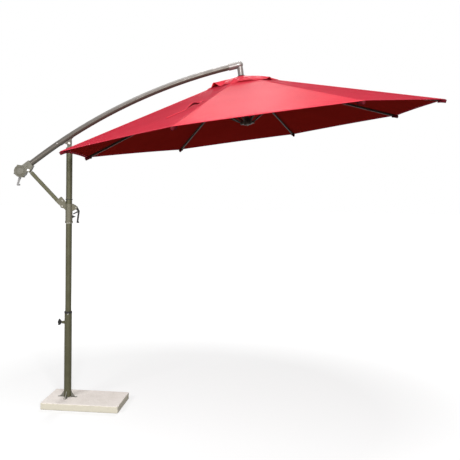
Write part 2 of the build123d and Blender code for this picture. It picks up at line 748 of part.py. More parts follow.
# Slider bracket: a pair of cheeks for the strut's foot and a pair for the lever
strut_cheek = max(STRUT_WIDTH, STRUT_FOOT_THICKNESS) / 2 + RUN_GAP
lever_cheek = LEVER_THICKNESS / 2 + RUN_GAP
foot_plane = side_plane(strut_foot, strut_slope + 180)
sleeve_side = STRUT_FOOT_OUT - SLEEVE_OD / 4
with BuildPart() as slider_bracket:
    for side in (1, -1):
        with BuildSketch(side_plane(strut_foot).offset(side * strut_cheek)):
            with BuildLine():
                Polyline(
                    (sleeve_side, STRUT_FOOT_DROP),
                    step_from((0, 0), strut_slope + 180, BRACKET_REACH, -1.4 * STRUT_HEIGHT),
                    step_from((0, 0), strut_slope + 180, BRACKET_REACH, STRUT_HEIGHT / 2),
                    (sleeve_side, -2 * STRUT_FOOT_DROP),
                    close=True,
                )
            make_face()
        extrude(amount=side * BRACKET_THICKNESS)
        with BuildSketch(side_plane(lever_pin).offset(side * lever_cheek)):
            Circle(LEVER_HUB_R)
            with Locations((SLEEVE_OD / 2 - LEVER_OUT, 0)):
                Rectangle(LEVER_HUB_R, 5 * LEVER_HUB_R)
            make_hull()
        extrude(amount=side * BRACKET_THICKNESS)
    with BuildSketch(Plane.XY.offset(sleeve_bottom)):
        Circle(SLEEVE_OD / 2 + FIT)
    extrude(amount=2 * SLEEVE_LENGTH, mode=Mode.SUBTRACT)
    with BuildSketch(side_plane(strut_foot)):
        Circle(STRUT_FOOT_PIN_D / 2 + FIT)
        with Locations((0, BRACKET_RIVET_UP)):
            Circle(BRACKET_RIVET_D / 2 + FIT)
    extrude(amount=SLEEVE_OD / 2, both=True, mode=Mode.SUBTRACT)
    with BuildSketch(side_plane(lever_pin)):
        Circle(LEVER_PIN_D / 2 + FIT)
    extrude(amount=SLEEVE_OD / 2, both=True, mode=Mode.SUBTRACT)
slider_bracket.part.label = "slider_bracket"
export_step(slider_bracket.part, "parts/slider_bracket.step")

# Pins of the bracket: the strut's foot pin, the spacer rivet and the lever's pin
with BuildPart() as bracket_pins:
    for spot, pin_d, cheek in (
        (strut_foot, STRUT_FOOT_PIN_D, strut_cheek),
        ((strut_foot[0], strut_foot[1] + BRACKET_RIVET_UP), BRACKET_RIVET_D, strut_cheek),
        (lever_pin, LEVER_PIN_D, lever_cheek),
    ):
        pin_half = cheek + BRACKET_THICKNESS + FIT
        with BuildSketch(side_plane(spot)):
            Circle(pin_d / 2)
        extrude(amount=pin_half, both=True)
        for side in (1, -1):
            with BuildSketch(side_plane(spot).offset(side * pin_half)):
                Circle(0.7 * pin_d)
            extrude(amount=side * SCREW_HEAD)
bracket_pins.part.label = "bracket_pins"
export_step(bracket_pins.part, "parts/bracket_pins.step")

# Clamp lever: cam nose against the shoe, an arm that bows out to a flared foot, and a short prong
lever_plane = side_plane(lever_pin)
cam_reach = LEVER_OUT - shoe_face - SOFT_GAP
lever_knee = (LEVER_BULGE, -LEVER_LENGTH / 4)
lever_end = (LEVER_BULGE / 2, -LEVER_LENGTH)
lever_toe = (LEVER_BULGE / 2 + LEVER_FLARE, -LEVER_LENGTH)
prong_tip = (-PRONG_IN, -PRONG_DROP)
with BuildPart() as clamp_lever:
    for first, first_r, last, last_r in (
        ((0, 0), LEVER_HUB_R, (LEVER_ARM_R - cam_reach, 0), LEVER_ARM_R),
        ((0, 0), LEVER_HUB_R, lever_knee, LEVER_ARM_R),
        (lever_knee, LEVER_ARM_R, lever_end, LEVER_ARM_R),
        (lever_end, LEVER_ARM_R, lever_toe, LEVER_ARM_R),
        (lever_knee, LEVER_ARM_R, prong_tip, PRONG_R),
    ):
        with BuildSketch(lever_plane):
            with Locations(first):
                Circle(first_r)
            with Locations(last):
                Circle(last_r)
            make_hull()
        extrude(amount=LEVER_THICKNESS / 2, both=True)
    with BuildSketch(lever_plane):
        Circle(LEVER_PIN_D / 2 + FIT)
    extrude(amount=LEVER_THICKNESS, both=True, mode=Mode.SUBTRACT)
clamp_lever.part.label = "clamp_lever"
export_step(clamp_lever.part, "parts/clamp_lever.step")

# Stop for the lever's arm: a wedge on the side of the sleeve
stop_root = SLEEVE_OD / 2 - LEVER_OUT
with BuildPart() as lever_stop:
    with BuildSketch(lever_plane):
        with BuildLine():
            Polyline(
                (stop_root - STOP_WIDTH / 4, STOP_HEIGHT / 2 - STOP_DROP),
                (stop_root + STOP_REACH, -STOP_DROP),
                (stop_root - STOP_WIDTH / 4, -STOP_HEIGHT / 2 - STOP_DROP),
                close=True,
            )
        make_face()
    extrude(amount=STOP_WIDTH / 2, both=True)
    with BuildSketch(Plane.XY.offset(sleeve_bottom)):
        Circle(SLEEVE_OD / 2 + FIT)
    extrude(amount=SLEEVE_LENGTH, mode=Mode.SUBTRACT)
lever_stop.part.label = "lever_stop"
export_step(lever_stop.part, "parts/lever_stop.step")

# Strut: a flat-sided tube with a fitting in each end
tube_from = STRUT_END_LENGTH
tube_to = strut_length - STRUT_END_LENGTH
strut_middle = (tube_from + tube_to) / 2
with BuildPart() as strut_tube:
    with BuildSketch(strut_plane.offset(0)):
        with Locations((strut_middle, 0)):
            Rectangle(tube_to - tube_from, STRUT_HEIGHT)
    extrude(amount=STRUT_WIDTH / 2, both=True)
    fillet(strut_tube.edges().filter_by(GeomType.LINE).sort_by(SortBy.LENGTH)[-4:], STRUT_WIDTH / 3)
    with BuildSketch(strut_plane):
        with Locations((strut_middle, 0)):
            Rectangle(tube_to - tube_from, STRUT_HEIGHT - 2 * STRUT_WALL)
    extrude(amount=STRUT_WIDTH / 2 - 2 * STRUT_WALL, both=True, mode=Mode.SUBTRACT)
strut_tube.part.label = "strut_tube"
export_step(strut_tube.part, "parts/strut_tube.step")

plug_half_height = STRUT_HEIGHT / 2 - STRUT_WALL - FIT
plug_half_width = STRUT_WIDTH / 2 - 2 * STRUT_WALL - FIT
with BuildPart() as strut_ends:
    for eye_x, eye_r, eye_thickness, tube_x, inward in (
        (0, STRUT_EYE_R, STRUT_EYE_THICKNESS, tube_from, 1),
        (strut_length, STRUT_FOOT_R, STRUT_FOOT_THICKNESS, tube_to, -1),
    ):
        with BuildSketch(strut_plane):
            with Locations((eye_x, 0)):
                Circle(eye_r)
            with Locations(((eye_x + tube_x) / 2 - inward * FIT / 2, 0)):
                Rectangle(abs(tube_x - eye_x) - FIT, 2 * STRUT_EYE_R)
        extrude(amount=eye_thickness / 2, both=True)
        with BuildSketch(strut_plane):
            with Locations((tube_x + inward * (STRUT_PLUG - STRUT_END_LENGTH / 2) / 2, 0)):
                Rectangle(STRUT_PLUG + STRUT_END_LENGTH / 2, 2 * min(plug_half_height, STRUT_EYE_R))
        extrude(amount=plug_half_width, both=True)
    with BuildSketch(strut_plane):
        Circle(STRUT_PIN_D / 2 + FIT)
        with Locations((strut_length, 0)):
            SlotCenterToCenter(2 * STRUT_SLOT_PLAY, STRUT_FOOT_PIN_D + 2 * STRUT_SIDE_PLAY)
    extrude(amount=STRUT_FOOT_THICKNESS, both=True, mode=Mode.SUBTRACT)
strut_ends.part.label = "strut_ends"
export_step(strut_ends.part, "parts/strut_ends.step")

# Elbow: socket on the boom, leg on the canopy pole, and the pocket of the cord's sheave
sheave_back = (
    -(SHEAVE_R - (cord_line - SHEAVE_R) * sin(radians(front_slope - CANOPY_TILT)))
    / cos(radians(front_slope - CANOPY_TILT))
)
sheave_centre = step_from(elbow, front_slope, sheave_back, cord_line - SHEAVE_R)
sheave_plane = side_plane(sheave_centre, front_slope)
elbow_r = BOOM_OD / 2 + ELBOW_WALL
leg_r = POLE_OD / 2 + ELBOW_WALL
leg_plane = Plane(origin=(elbow[0], 0, elbow[1]), x_dir=(0, 1, 0), z_dir=-axis_up)
pocket_r = SHEAVE_R + SHEAVE_LIP + 2 * RUN_GAP
pocket_half = SHEAVE_WIDTH / 2 + RUN_GAP
with BuildPart() as boom_elbow:
    with BuildSketch(cross_plane(elbow, front_slope)):
        Circle(elbow_r)
    extrude(amount=-(BOOM_END_BACK + ELBOW_SOCKET))
    with BuildSketch(leg_plane):
        Circle(leg_r)
    extrude(amount=ELBOW_LEG)
    with Locations((elbow[0], 0, elbow[1])):
        Sphere(elbow_r)
    with BuildSketch(cross_plane(elbow, front_slope).offset(-BOOM_END_BACK)):
        Circle(BOOM_OD / 2 + FIT)
    extrude(amount=-ELBOW_SOCKET, mode=Mode.SUBTRACT)
    with BuildSketch(cross_plane(elbow, front_slope).offset(-BOOM_END_BACK)):
        with Locations((0, cord_line)):
            Circle(CORD_D)
    extrude(amount=BOOM_END_BACK + sheave_back, mode=Mode.SUBTRACT)
    with BuildSketch(leg_plane.offset(POLE_TOP_DROP)):
        Circle(POLE_OD / 2 + FIT)
    extrude(amount=ELBOW_LEG - POLE_TOP_DROP, mode=Mode.SUBTRACT)
    with BuildSketch(leg_plane):
        Circle(CORD_D)
    extrude(amount=POLE_TOP_DROP, mode=Mode.SUBTRACT)
    with BuildSketch(sheave_plane):
        Circle(pocket_r)
    extrude(amount=pocket_half, both=True, mode=Mode.SUBTRACT)
    with BuildSketch(sheave_plane):
        Circle(SHEAVE_AXLE_D / 2 + FIT)
    extrude(amount=2 * elbow_r, both=True, mode=Mode.SUBTRACT)
boom_elbow.part.label = "boom_elbow"
export_step(boom_elbow.part, "parts/boom_elbow.step")

with BuildPart() as sheave_axle:
    with BuildSketch(sheave_plane):
        Circle(SHEAVE_AXLE_D / 2)
    extrude(amount=elbow_r + SCREW_HEAD, both=True)
sheave_axle.part.label = "sheave_axle"
export_step(sheave_axle.part, "parts/sheave_axle.step")

with BuildPart() as cord_sheave:
    with BuildSketch(sheave_plane):
        Circle(SHEAVE_R + SHEAVE_LIP)
    extrude(amount=SHEAVE_WIDTH / 2, both=True)
    with BuildLine(sheave_plane) as groove_path:
        CenterArc((0, 0), SHEAVE_R, 0, 360)
    with BuildSketch(Plane(origin=groove_path.wire() @ 0, z_dir=groove_path.wire() % 0)):
        Circle(CORD_D / 2 + SOFT_GAP)
    sweep(path=groove_path.wire(), mode=Mode.SUBTRACT)
    with BuildSketch(sheave_plane):
        Circle(SHEAVE_R + 2 * SHEAVE_LIP)
        Circle(SHEAVE_R, mode=Mode.SUBTRACT)
    extrude(amount=CORD_D / 2 + SOFT_GAP, both=True, mode=Mode.SUBTRACT)
    with BuildSketch(sheave_plane):
        Circle(SHEAVE_AXLE_D / 2 + FIT)
    extrude(amount=SHEAVE_WIDTH, both=True, mode=Mode.SUBTRACT)
cord_sheave.part.label = "cord_sheave"
export_step(cord_sheave.part, "parts/cord_sheave.step")

# Lift cord from the spool along the boom and over the sheave
turn_start = step_from(sheave_centre, front_slope, 0, SHEAVE_R)
turn_end = step_from(sheave_centre, CANOPY_TILT, SHEAVE_R)
turn_middle = step_from(sheave_centre, (front_slope + 90 + CANOPY_TILT) / 2, SHEAVE_R)
with BuildPart() as lift_cord:
    with BuildLine(side_plane((0, 0))) as cord_path:
        Line(boom_at(-DRUM_DISTANCE, cord_line), boom_at(-BEND_REAR, cord_line))
        ThreePointArc(
            boom_at(-BEND_REAR, cord_line), boom_at(bend_middle, cord_line), boom_at(BEND_FRONT, cord_line)
        )
        Line(boom_at(BEND_FRONT, cord_line), turn_start)
        ThreePointArc(turn_start, turn_middle, turn_end)
    with BuildSketch(cross_plane(boom_at(-DRUM_DISTANCE, cord_line), rear_slope)):
        Circle(CORD_D / 2)
    sweep(path=cord_path.wire())
lift_cord.part.label = "lift_cord"
export_step(lift_cord.part, "parts/lift_cord.step")

# Canopy pole, from the elbow down into the runner
pole_top = APEX_DROP - POLE_TOP_DROP - RUN_GAP
pole_bottom = runner_level - POLE_END
with BuildPart() as canopy_pole:
    with BuildSketch(canopy_plane.offset(pole_bottom)):
        Circle(POLE_OD / 2)
        Circle(POLE_OD / 2 - POLE_WALL, mode=Mode.SUBTRACT)
    extrude(amount=pole_top - pole_bottom)
canopy_pole.part.label = "canopy_pole"
export_step(canopy_pole.part, "parts/canopy_pole.step")

# Top hub on the pole: eight slots for the ribs, and a collar that carries the vent cap
rib_plug_width = RIB_WIDTH - 2 * RIB_WALL - 2 * FIT
slot_width = RIB_WIDTH + 2 * RUN_GAP
vent_seat = VENT_RISE - VENT_INNER_R * tan(radians(gore_slope)) - (CLOTH + SOFT_GAP) / cos(radians(gore_slope))
with BuildPart() as top_hub:
    with BuildSketch(canopy_plane.offset(hub_level - HUB_HALF)):
        Circle(HUB_R)
    extrude(amount=2 * HUB_HALF)
    with BuildSketch(canopy_plane.offset(hub_level)):
        Circle(VENT_INNER_R)
    extrude(amount=vent_seat - hub_level)
    with BuildSketch(canopy_plane.offset(hub_level - HUB_HALF)):
        Circle(POLE_OD / 2 + FIT)
    extrude(amount=vent_seat - hub_level + HUB_HALF, mode=Mode.SUBTRACT)
    for angle in rib_angles:
        with BuildSketch(spoke_plane(angle, HUB_CORE_R + HUB_R / 2, hub_level)):
            Rectangle(HUB_R, 2 * HUB_HALF + RUN_GAP)
        extrude(amount=slot_width / 2, both=True, mode=Mode.SUBTRACT)
        with BuildSketch(spoke_plane(angle, HUB_PIVOT_R, hub_level)):
            Circle(HUB_PIN_D / 2 + FIT)
        extrude(amount=HUB_PIN_LENGTH / 2 + RUN_GAP, both=True, mode=Mode.SUBTRACT)
top_hub.part.label = "top_hub"
export_step(top_hub.part, "parts/top_hub.step")

# Runner around the pole's lower end: slots for the stretchers and rebates under their trunnions
blade_slot = STRETCHER_BLADE + 2 * RUN_GAP
runner_half = HUB_HALF - 1
rebate_r = STRETCHER_PIN_D / 2 + SOFT_GAP
with BuildPart() as runner_hub:
    with BuildSketch(canopy_plane.offset(runner_level - runner_half)):
        Circle(HUB_R)
    extrude(amount=2 * runner_half)
    with BuildSketch(canopy_plane.offset(pole_bottom - RUN_GAP - RUNNER_FLOOR)):
        Circle(HUB_CORE_R - RUN_GAP)
    extrude(amount=runner_level + RUNNER_SKIRT - pole_bottom + RUN_GAP + RUNNER_FLOOR)
    with BuildSketch(canopy_plane.offset(pole_bottom - RUN_GAP)):
        Circle(POLE_OD / 2 + SOFT_GAP)
    extrude(amount=runner_level + RUNNER_SKIRT - pole_bottom + RUN_GAP, mode=Mode.SUBTRACT)
    with BuildSketch(canopy_plane.offset(pole_bottom - RUN_GAP - RUNNER_FLOOR)):
        Circle(CORD_D / 2 + FIT)
    extrude(amount=RUNNER_FLOOR, mode=Mode.SUBTRACT)
    for angle in rib_angles:
        with BuildSketch(spoke_plane(angle, HUB_CORE_R + HUB_R / 2, runner_level)):
            Rectangle(HUB_R, 3 * HUB_HALF)
        extrude(amount=blade_slot / 2, both=True, mode=Mode.SUBTRACT)
        with BuildSketch(spoke_plane(angle, RUNNER_NOTCH_R + HUB_R / 2, runner_level)):
            Rectangle(HUB_R, 3 * HUB_HALF)
        extrude(amount=STRETCHER_SIZE / 2 + RUN_GAP, both=True, mode=Mode.SUBTRACT)
        with BuildSketch(spoke_plane(angle, RUNNER_PIVOT_R, runner_level)):
            Circle(rebate_r)
            with Locations((HUB_R / 2, -HUB_R / 2)):
                Rectangle(HUB_R + 2 * rebate_r, HUB_R)
            with Locations((HUB_R / 2, 0)):
                Rectangle(HUB_R, 2 * rebate_r)
        extrude(amount=TRUNNION_LENGTH / 2 + RUN_GAP, both=True, mode=Mode.SUBTRACT)
runner_hub.part.label = "runner_hub"
export_step(runner_hub.part, "parts/runner_hub.step")

# Cord down the canopy pole, knotted under the runner's floor
knot_level = pole_bottom - RUN_GAP - RUNNER_FLOOR - FIT
cord_top = (Vector(turn_end[0], 0, turn_end[1]) - Vector(*apex)).dot(axis_up) - RUN_GAP
with BuildPart() as runner_cord:
    with BuildSketch(canopy_plane.offset(knot_level)):
        Circle(CORD_D / 2)
    extrude(amount=cord_top - knot_level)
    with BuildSketch(canopy_plane.offset(knot_level)):
        Circle(1.5 * CORD_D)
    extrude(amount=-2 * CORD_D)
runner_cord.part.label = "runner_cord"
export_step(runner_cord.part, "parts/runner_cord.step")

# Ribs: tube, root eye with its pin, stretcher ears with their pin, and tip cap
rib_end = (CANOPY_R - HUB_PIVOT_R - RIB_TIP) / cos(radians(rib_slope))
ear_in = RIB_WIDTH / 2 + FIT
for number, angle in enumerate(rib_angles, start=1):
    rib_plane = spoke_plane(angle, HUB_PIVOT_R, hub_level, rib_slope)
    with BuildPart() as rib:
        with BuildSketch(rib_plane):
            with Locations(((RIB_ROOT + rib_end) / 2, 0)):
                Rectangle(rib_end - RIB_ROOT, RIB_HEIGHT)
        extrude(amount=RIB_WIDTH / 2, both=True)
        with BuildSketch(rib_plane):
            with Locations(((RIB_ROOT + rib_end) / 2, 0)):
                Rectangle(rib_end, RIB_HEIGHT - 2 * RIB_WALL)
        extrude(amount=RIB_WIDTH / 2 - RIB_WALL, both=True, mode=Mode.SUBTRACT)
        with BuildSketch(rib_plane):
            Circle(RIB_EYE_R)
            with Locations(((RIB_ROOT + RIB_PLUG) / 2, 0)):
                Rectangle(RIB_ROOT + RIB_PLUG, 2 * RIB_EYE_R)
            Circle(HUB_PIN_D / 2 + FIT, mode=Mode.SUBTRACT)
        extrude(amount=rib_plug_width / 2, both=True)
        with BuildSketch(rib_plane):
            Circle(HUB_PIN_D / 2)
        extrude(amount=HUB_PIN_LENGTH / 2, both=True)
        with BuildSketch(rib_plane):
            with Locations((rib_end + FIT + RIB_TIP / 2, 0)):
                RectangleRounded(RIB_TIP, RIB_HEIGHT, RIB_TIP / 3)
        extrude(amount=RIB_WIDTH / 2, both=True)
        with BuildSketch(rib_plane):
            with Locations((rib_end - RIB_TIP / 2, 0)):
                Rectangle(2 * RIB_TIP, RIB_HEIGHT - 2 * RIB_WALL - 2 * FIT)
        extrude(amount=rib_plug_width / 2, both=True)
        for side in (1, -1):
            with BuildSketch(rib_plane.offset(side * ear_in)):
                with Locations((STRETCHER_AT, -STRETCHER_PIN_DROP)):
                    Circle(STRETCHER_EYE_R)
                with Locations((STRETCHER_AT, 0)):
                    Rectangle(4 * STRETCHER_EYE_R, RIB_HEIGHT / 2)
                make_hull()
                with Locations((STRETCHER_AT, -STRETCHER_PIN_DROP)):
                    Circle(STRETCHER_PIN_D / 2 + FIT, mode=Mode.SUBTRACT)
            extrude(amount=side * EAR_THICKNESS)
        with BuildSketch(rib_plane):
            with Locations((STRETCHER_AT, -STRETCHER_PIN_DROP)):
                Circle(STRETCHER_PIN_D / 2)
        extrude(amount=ear_in + EAR_THICKNESS + RUN_GAP, both=True)
    rib.part.label = f"rib_{number}"
    export_step(rib.part, f"parts/rib_{number}.step")

# Stretchers: tube, upper eye between the rib's ears, and lower blade with its trunnion
stretcher_middle = stretcher_length / 2
tube_length = stretcher_length - 2 * STRETCHER_END
eye_half = RIB_WIDTH / 2 - RUN_GAP
plug_half = STRETCHER_SIZE / 2 - STRETCHER_WALL - FIT
for number, angle in enumerate(rib_angles, start=1):
    stay_plane = spoke_plane(angle, RUNNER_PIVOT_R, runner_level, -stretcher_slope)
    with BuildPart() as stretcher:
        with BuildSketch(stay_plane):
            with Locations((stretcher_middle, 0)):
                Rectangle(tube_length, STRETCHER_SIZE)
        extrude(amount=STRETCHER_SIZE / 2, both=True)
        with BuildSketch(stay_plane):
            with Locations((stretcher_middle, 0)):
                Rectangle(tube_length, STRETCHER_SIZE - 2 * STRETCHER_WALL)
        extrude(amount=STRETCHER_SIZE / 2 - STRETCHER_WALL, both=True, mode=Mode.SUBTRACT)
        with BuildSketch(stay_plane):
            with Locations((stretcher_length, 0)):
                Circle(STRETCHER_EYE_R)
            with Locations((stretcher_length - STRETCHER_END / 2 + FIT, 0)):
                Rectangle(STRETCHER_END - 2 * FIT, 2 * STRETCHER_EYE_R - 2)
            with Locations((stretcher_length, 0)):
                Circle(STRETCHER_PIN_D / 2 + FIT, mode=Mode.SUBTRACT)
        extrude(amount=eye_half, both=True)
        with BuildSketch(stay_plane):
            with Locations((stretcher_length - STRETCHER_END - STRETCHER_PLUG / 2 + STRETCHER_EYE_R, 0)):
                Rectangle(STRETCHER_PLUG, 2 * plug_half)
        extrude(amount=eye_half, both=True)
        with BuildSketch(stay_plane):
            Circle(STRETCHER_EYE_R)
            with Locations(((STRETCHER_END + STRETCHER_PLUG) / 2, 0)):
                Rectangle(STRETCHER_END + STRETCHER_PLUG, 2 * plug_half)
        extrude(amount=STRETCHER_BLADE / 2, both=True)
        with BuildSketch(stay_plane):
            Circle(STRETCHER_PIN_D / 2)
        extrude(amount=TRUNNION_LENGTH / 2, both=True)
    stretcher.part.label = f"stretcher_{number}"
    export_step(stretcher.part, f"parts/stretcher_{number}.step")

# Canopy panels: one gore from rib to rib, and its flap of the vent cap above
outer_down, outer_half = gore_corner(CANOPY_R)
inner_down, inner_half = gore_corner(INNER_R)
vent_down, vent_half = gore_corner(VENT_R)
vent_in_down, vent_in_half = gore_corner(VENT_INNER_R)
for number, angle in enumerate(rib_angles, start=1):
    panel_plane = gore_plane(angle + half_gore)
    with BuildPart() as panel:
        with BuildSketch(panel_plane):
            with BuildLine():
                Line((inner_down, inner_half), (inner_down, -inner_half))
                Line((inner_down, -inner_half), (outer_down, -outer_half))
                ThreePointArc((outer_down, -outer_half), (outer_down - HEM_SAG, 0), (outer_down, outer_half))
                Line((outer_down, outer_half), (inner_down, inner_half))
            make_face()
        extrude(amount=-CLOTH)
        with BuildSketch(gore_plane(angle + half_gore, VENT_RISE)):
            with BuildLine():
                Polyline(
                    (vent_in_down, vent_in_half),
                    (vent_in_down, -vent_in_half),
                    (vent_down, -vent_half),
                    (vent_down, vent_half),
                    close=True,
                )
            make_face()
        extrude(amount=-CLOTH)
    panel.part.label = f"canopy_panel_{number}"
    export_step(panel.part, f"parts/canopy_panel_{number}.step")

# Tie strap lying on the panel beside the mast, on its outer side
strap_gore = rib_angles[RIBS // 2] + half_gore
with BuildPart() as tie_strap:
    with BuildSketch(gore_plane(strap_gore).offset(SOFT_GAP)):
        with Locations(Location((STRAP_DOWN, STRAP_ACROSS), STRAP_TURN)):
            Rectangle(STRAP_LENGTH, STRAP_WIDTH)
    extrude(amount=CLOTH)
tie_strap.part.label = "tie_strap"
export_step(tie_strap.part, "parts/tie_strap.step")
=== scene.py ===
"""Cantilever patio umbrella: stone base, swivelling mast, tilting boom and a folding red canopy.

Metres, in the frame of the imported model: the mast's axis is Z, the floor is z = 0 and the boom runs
along +X. The sections follow the umbrella as it is put together, from the slab up to the cloth.
"""

import json
from math import atan, cos, pi, radians, sin, tan

import bpy
import numpy as np
from mathutils import Matrix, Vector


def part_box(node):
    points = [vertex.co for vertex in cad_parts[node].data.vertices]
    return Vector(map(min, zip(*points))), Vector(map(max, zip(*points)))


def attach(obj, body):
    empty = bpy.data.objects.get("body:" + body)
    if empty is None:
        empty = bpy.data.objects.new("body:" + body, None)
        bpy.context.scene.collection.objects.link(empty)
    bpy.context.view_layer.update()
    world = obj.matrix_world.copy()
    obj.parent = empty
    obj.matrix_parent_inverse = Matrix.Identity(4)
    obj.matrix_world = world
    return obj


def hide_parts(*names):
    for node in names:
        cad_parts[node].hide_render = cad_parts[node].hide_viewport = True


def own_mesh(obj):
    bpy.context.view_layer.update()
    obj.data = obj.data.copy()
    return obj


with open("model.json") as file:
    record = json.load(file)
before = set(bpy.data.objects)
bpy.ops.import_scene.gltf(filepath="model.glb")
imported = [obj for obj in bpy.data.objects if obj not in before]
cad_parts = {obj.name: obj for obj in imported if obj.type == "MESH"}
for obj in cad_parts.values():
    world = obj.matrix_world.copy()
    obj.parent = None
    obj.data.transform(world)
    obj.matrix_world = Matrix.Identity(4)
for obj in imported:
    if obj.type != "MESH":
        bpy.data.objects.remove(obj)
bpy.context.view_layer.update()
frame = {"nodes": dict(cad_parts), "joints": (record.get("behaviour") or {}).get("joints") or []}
nodes = frame["nodes"]
joints = {joint["name"]: joint for joint in frame["joints"]}

# Base slab
# A slab of cast stone with rough, slightly worn edges, cream with sandy clouds and small dark specks.
# It is poured in one piece and lies flat on the ground; the pole's foot is bolted to its top.
SLAB_LENGTH = 0.616
SLAB_WIDTH = 0.378
SLAB_REAR = 0.158
SLAB_THICKNESS = 0.054
SLAB_TURN = radians(-8)
SLAB_CORNER = 0.010
SLAB_EDGE = 0.005
SLAB_EDGE_STEPS = 7
SLAB_ROUGHNESS = 0.0022
SLAB_AROUND = 480
SLAB_TOP_RINGS = (0.16, 0.12, 0.08, 0.04, 0.02, 0.011)
SLAB_SIDE_LEVELS = (0.7, 0.5, 0.3)
SLAB_UNDER_RING = 0.04
OUTLINE_REACH = 1.45
OUTLINE_SHARPNESS = 40
WEAR_COARSE = 0.035
WEAR_FINE = 0.013
WEAR_FINE_SHARE = 0.7
WEAR_BAND = 0.03
WEAR_SPAN = 0.2
WEAR_TOP_SHARE = 0.5
RIPPLE_WAVES = 9
STONE_CREAM = (0.88, 0.82, 0.77, 1)
STONE_SAND = (0.80, 0.74, 0.68, 1)
STONE_SHADED_SIDE = (0.64, 0.595, 0.485, 1)
STONE_SPECK = (0.36, 0.31, 0.26, 1)


def ripple(points, wavelength, seed):
    """Smooth bumps, mostly between -1 and 1: twice the mean of sine waves in random directions.

    Each wave is about one wavelength long.
    """
    random = np.random.default_rng(seed)
    directions = random.normal(size=(RIPPLE_WAVES, 3))
    directions /= np.linalg.norm(directions, axis=1, keepdims=True)
    phases = random.uniform(0, 2 * pi, RIPPLE_WAVES)
    stretch = random.uniform(0.6, 1.6, RIPPLE_WAVES)
    waves = np.sin(points @ (directions * stretch[:, None]).T * (2 * pi / wavelength) + phases)
    return waves.mean(axis=-1) * 2


def grid_piece(name, points, wrap=False, caps=False, uv=None):
    """A mesh piece over a grid of points: a face between each four neighbours, pointing along rows x columns.

    With wrap the last column joins the first; with caps the first and last rows are closed by one face each.
    """
    rows, columns = points.shape[:2]
    index = np.arange(rows * columns).reshape(rows, columns)
    if wrap:
        index = np.concatenate([index, index[:, :1]], axis=1)
    faces = np.stack([index[:-1, :-1], index[1:, :-1], index[1:, 1:], index[:-1, 1:]], axis=-1)
    faces = faces.reshape(-1, 4).tolist()
    if caps:
        faces.append(index[0, :columns].tolist())
        faces.append(index[-1, :columns][::-1].tolist())
    mesh = bpy.data.meshes.new(name)
    mesh.from_pydata(points.reshape(-1, 3).tolist(), [], faces)
    mesh.polygons.foreach_set("use_smooth", np.ones(len(faces), dtype=bool))
    if uv is not None:
        loop_vertex = np.empty(len(mesh.loops), dtype=np.int32)
        mesh.loops.foreach_get("vertex_index", loop_vertex)
        layer = mesh.uv_layers.new(name="cut")
        layer.data.foreach_set("uv", uv.reshape(-1, 2)[loop_vertex].ravel())
    mesh.update()
    piece = bpy.data.objects.new(name, mesh)
    bpy.context.scene.collection.objects.link(piece)
    return piece


class Finish:
    """A node material that is built up around one shader."""

    def __init__(self, name, colour, roughness, metallic=0.0):
        self.material = bpy.data.materials.new(name)
        self.material.use_nodes = True
        self.tree = self.material.node_tree
        self.shader = self.tree.nodes["Principled BSDF"]
        self.shader.inputs["Base Color"].default_value = colour
        self.shader.inputs["Roughness"].default_value = roughness
        self.shader.inputs["Metallic"].default_value = metallic
        coordinates = self.tree.nodes.new("ShaderNodeTexCoord")
        self.place = coordinates.outputs["Object"]
        self.facing = coordinates.outputs["Normal"]

    def node(self, kind, **settings):
        """A new node with its settings and the values or links of its inputs."""
        made = self.tree.nodes.new(kind)
        for key, value in settings.pop("props", {}).items():
            setattr(made, key, value)
        for key, value in settings.pop("inputs", {}).items():
            if isinstance(value, bpy.types.NodeSocket):
                self.tree.links.new(value, made.inputs[key])
            else:
                made.inputs[key].default_value = value
        return made

    def noise(self, scale, detail=2.0, rough=0.5, place=None):
        """Noise between 0 and 1, by features per metre."""
        inputs = {"Vector": place or self.place, "Scale": scale, "Detail": detail, "Roughness": rough}
        return self.node("ShaderNodeTexNoise", inputs=inputs).outputs["Fac"]

    def spread(self, value, low, high, out_low=0.0, out_high=1.0):
        """A value's range from low to high stretched to a new range."""
        inputs = {"Value": value, "From Min": low, "From Max": high, "To Min": out_low, "To Max": out_high}
        return self.node("ShaderNodeMapRange", inputs=inputs).outputs["Result"]

    def blend(self, share, first, second):
        """The first colour where share is 0 and the second where it is 1."""
        made = self.node("ShaderNodeMix", props={"data_type": "RGBA"})
        for socket, value in ((made.inputs[0], share), (made.inputs[6], first), (made.inputs[7], second)):
            if isinstance(value, bpy.types.NodeSocket):
                self.tree.links.new(value, socket)
            else:
                socket.default_value = value
        return made.outputs[2]

    def calculate(self, operation, *values):
        """The result of one operation on values or links."""
        inputs = dict(enumerate(values))
        return self.node("ShaderNodeMath", props={"operation": operation}, inputs=inputs).outputs[0]

    def feed(self, socket, value):
        """Links a value to the shader's socket."""
        self.tree.links.new(value, self.shader.inputs[socket])

    def bump(self, height, distance, strength=1.0):
        """Surface relief from a height between 0 and 1, over a depth in metres."""
        inputs = {"Height": height, "Distance": distance, "Strength": strength}
        self.feed("Normal", self.node("ShaderNodeBump", inputs=inputs).outputs["Normal"])

    def shine(self, level):
        """Sets how strongly the surface mirrors."""
        self.shader.inputs["Specular IOR Level"].default_value = level


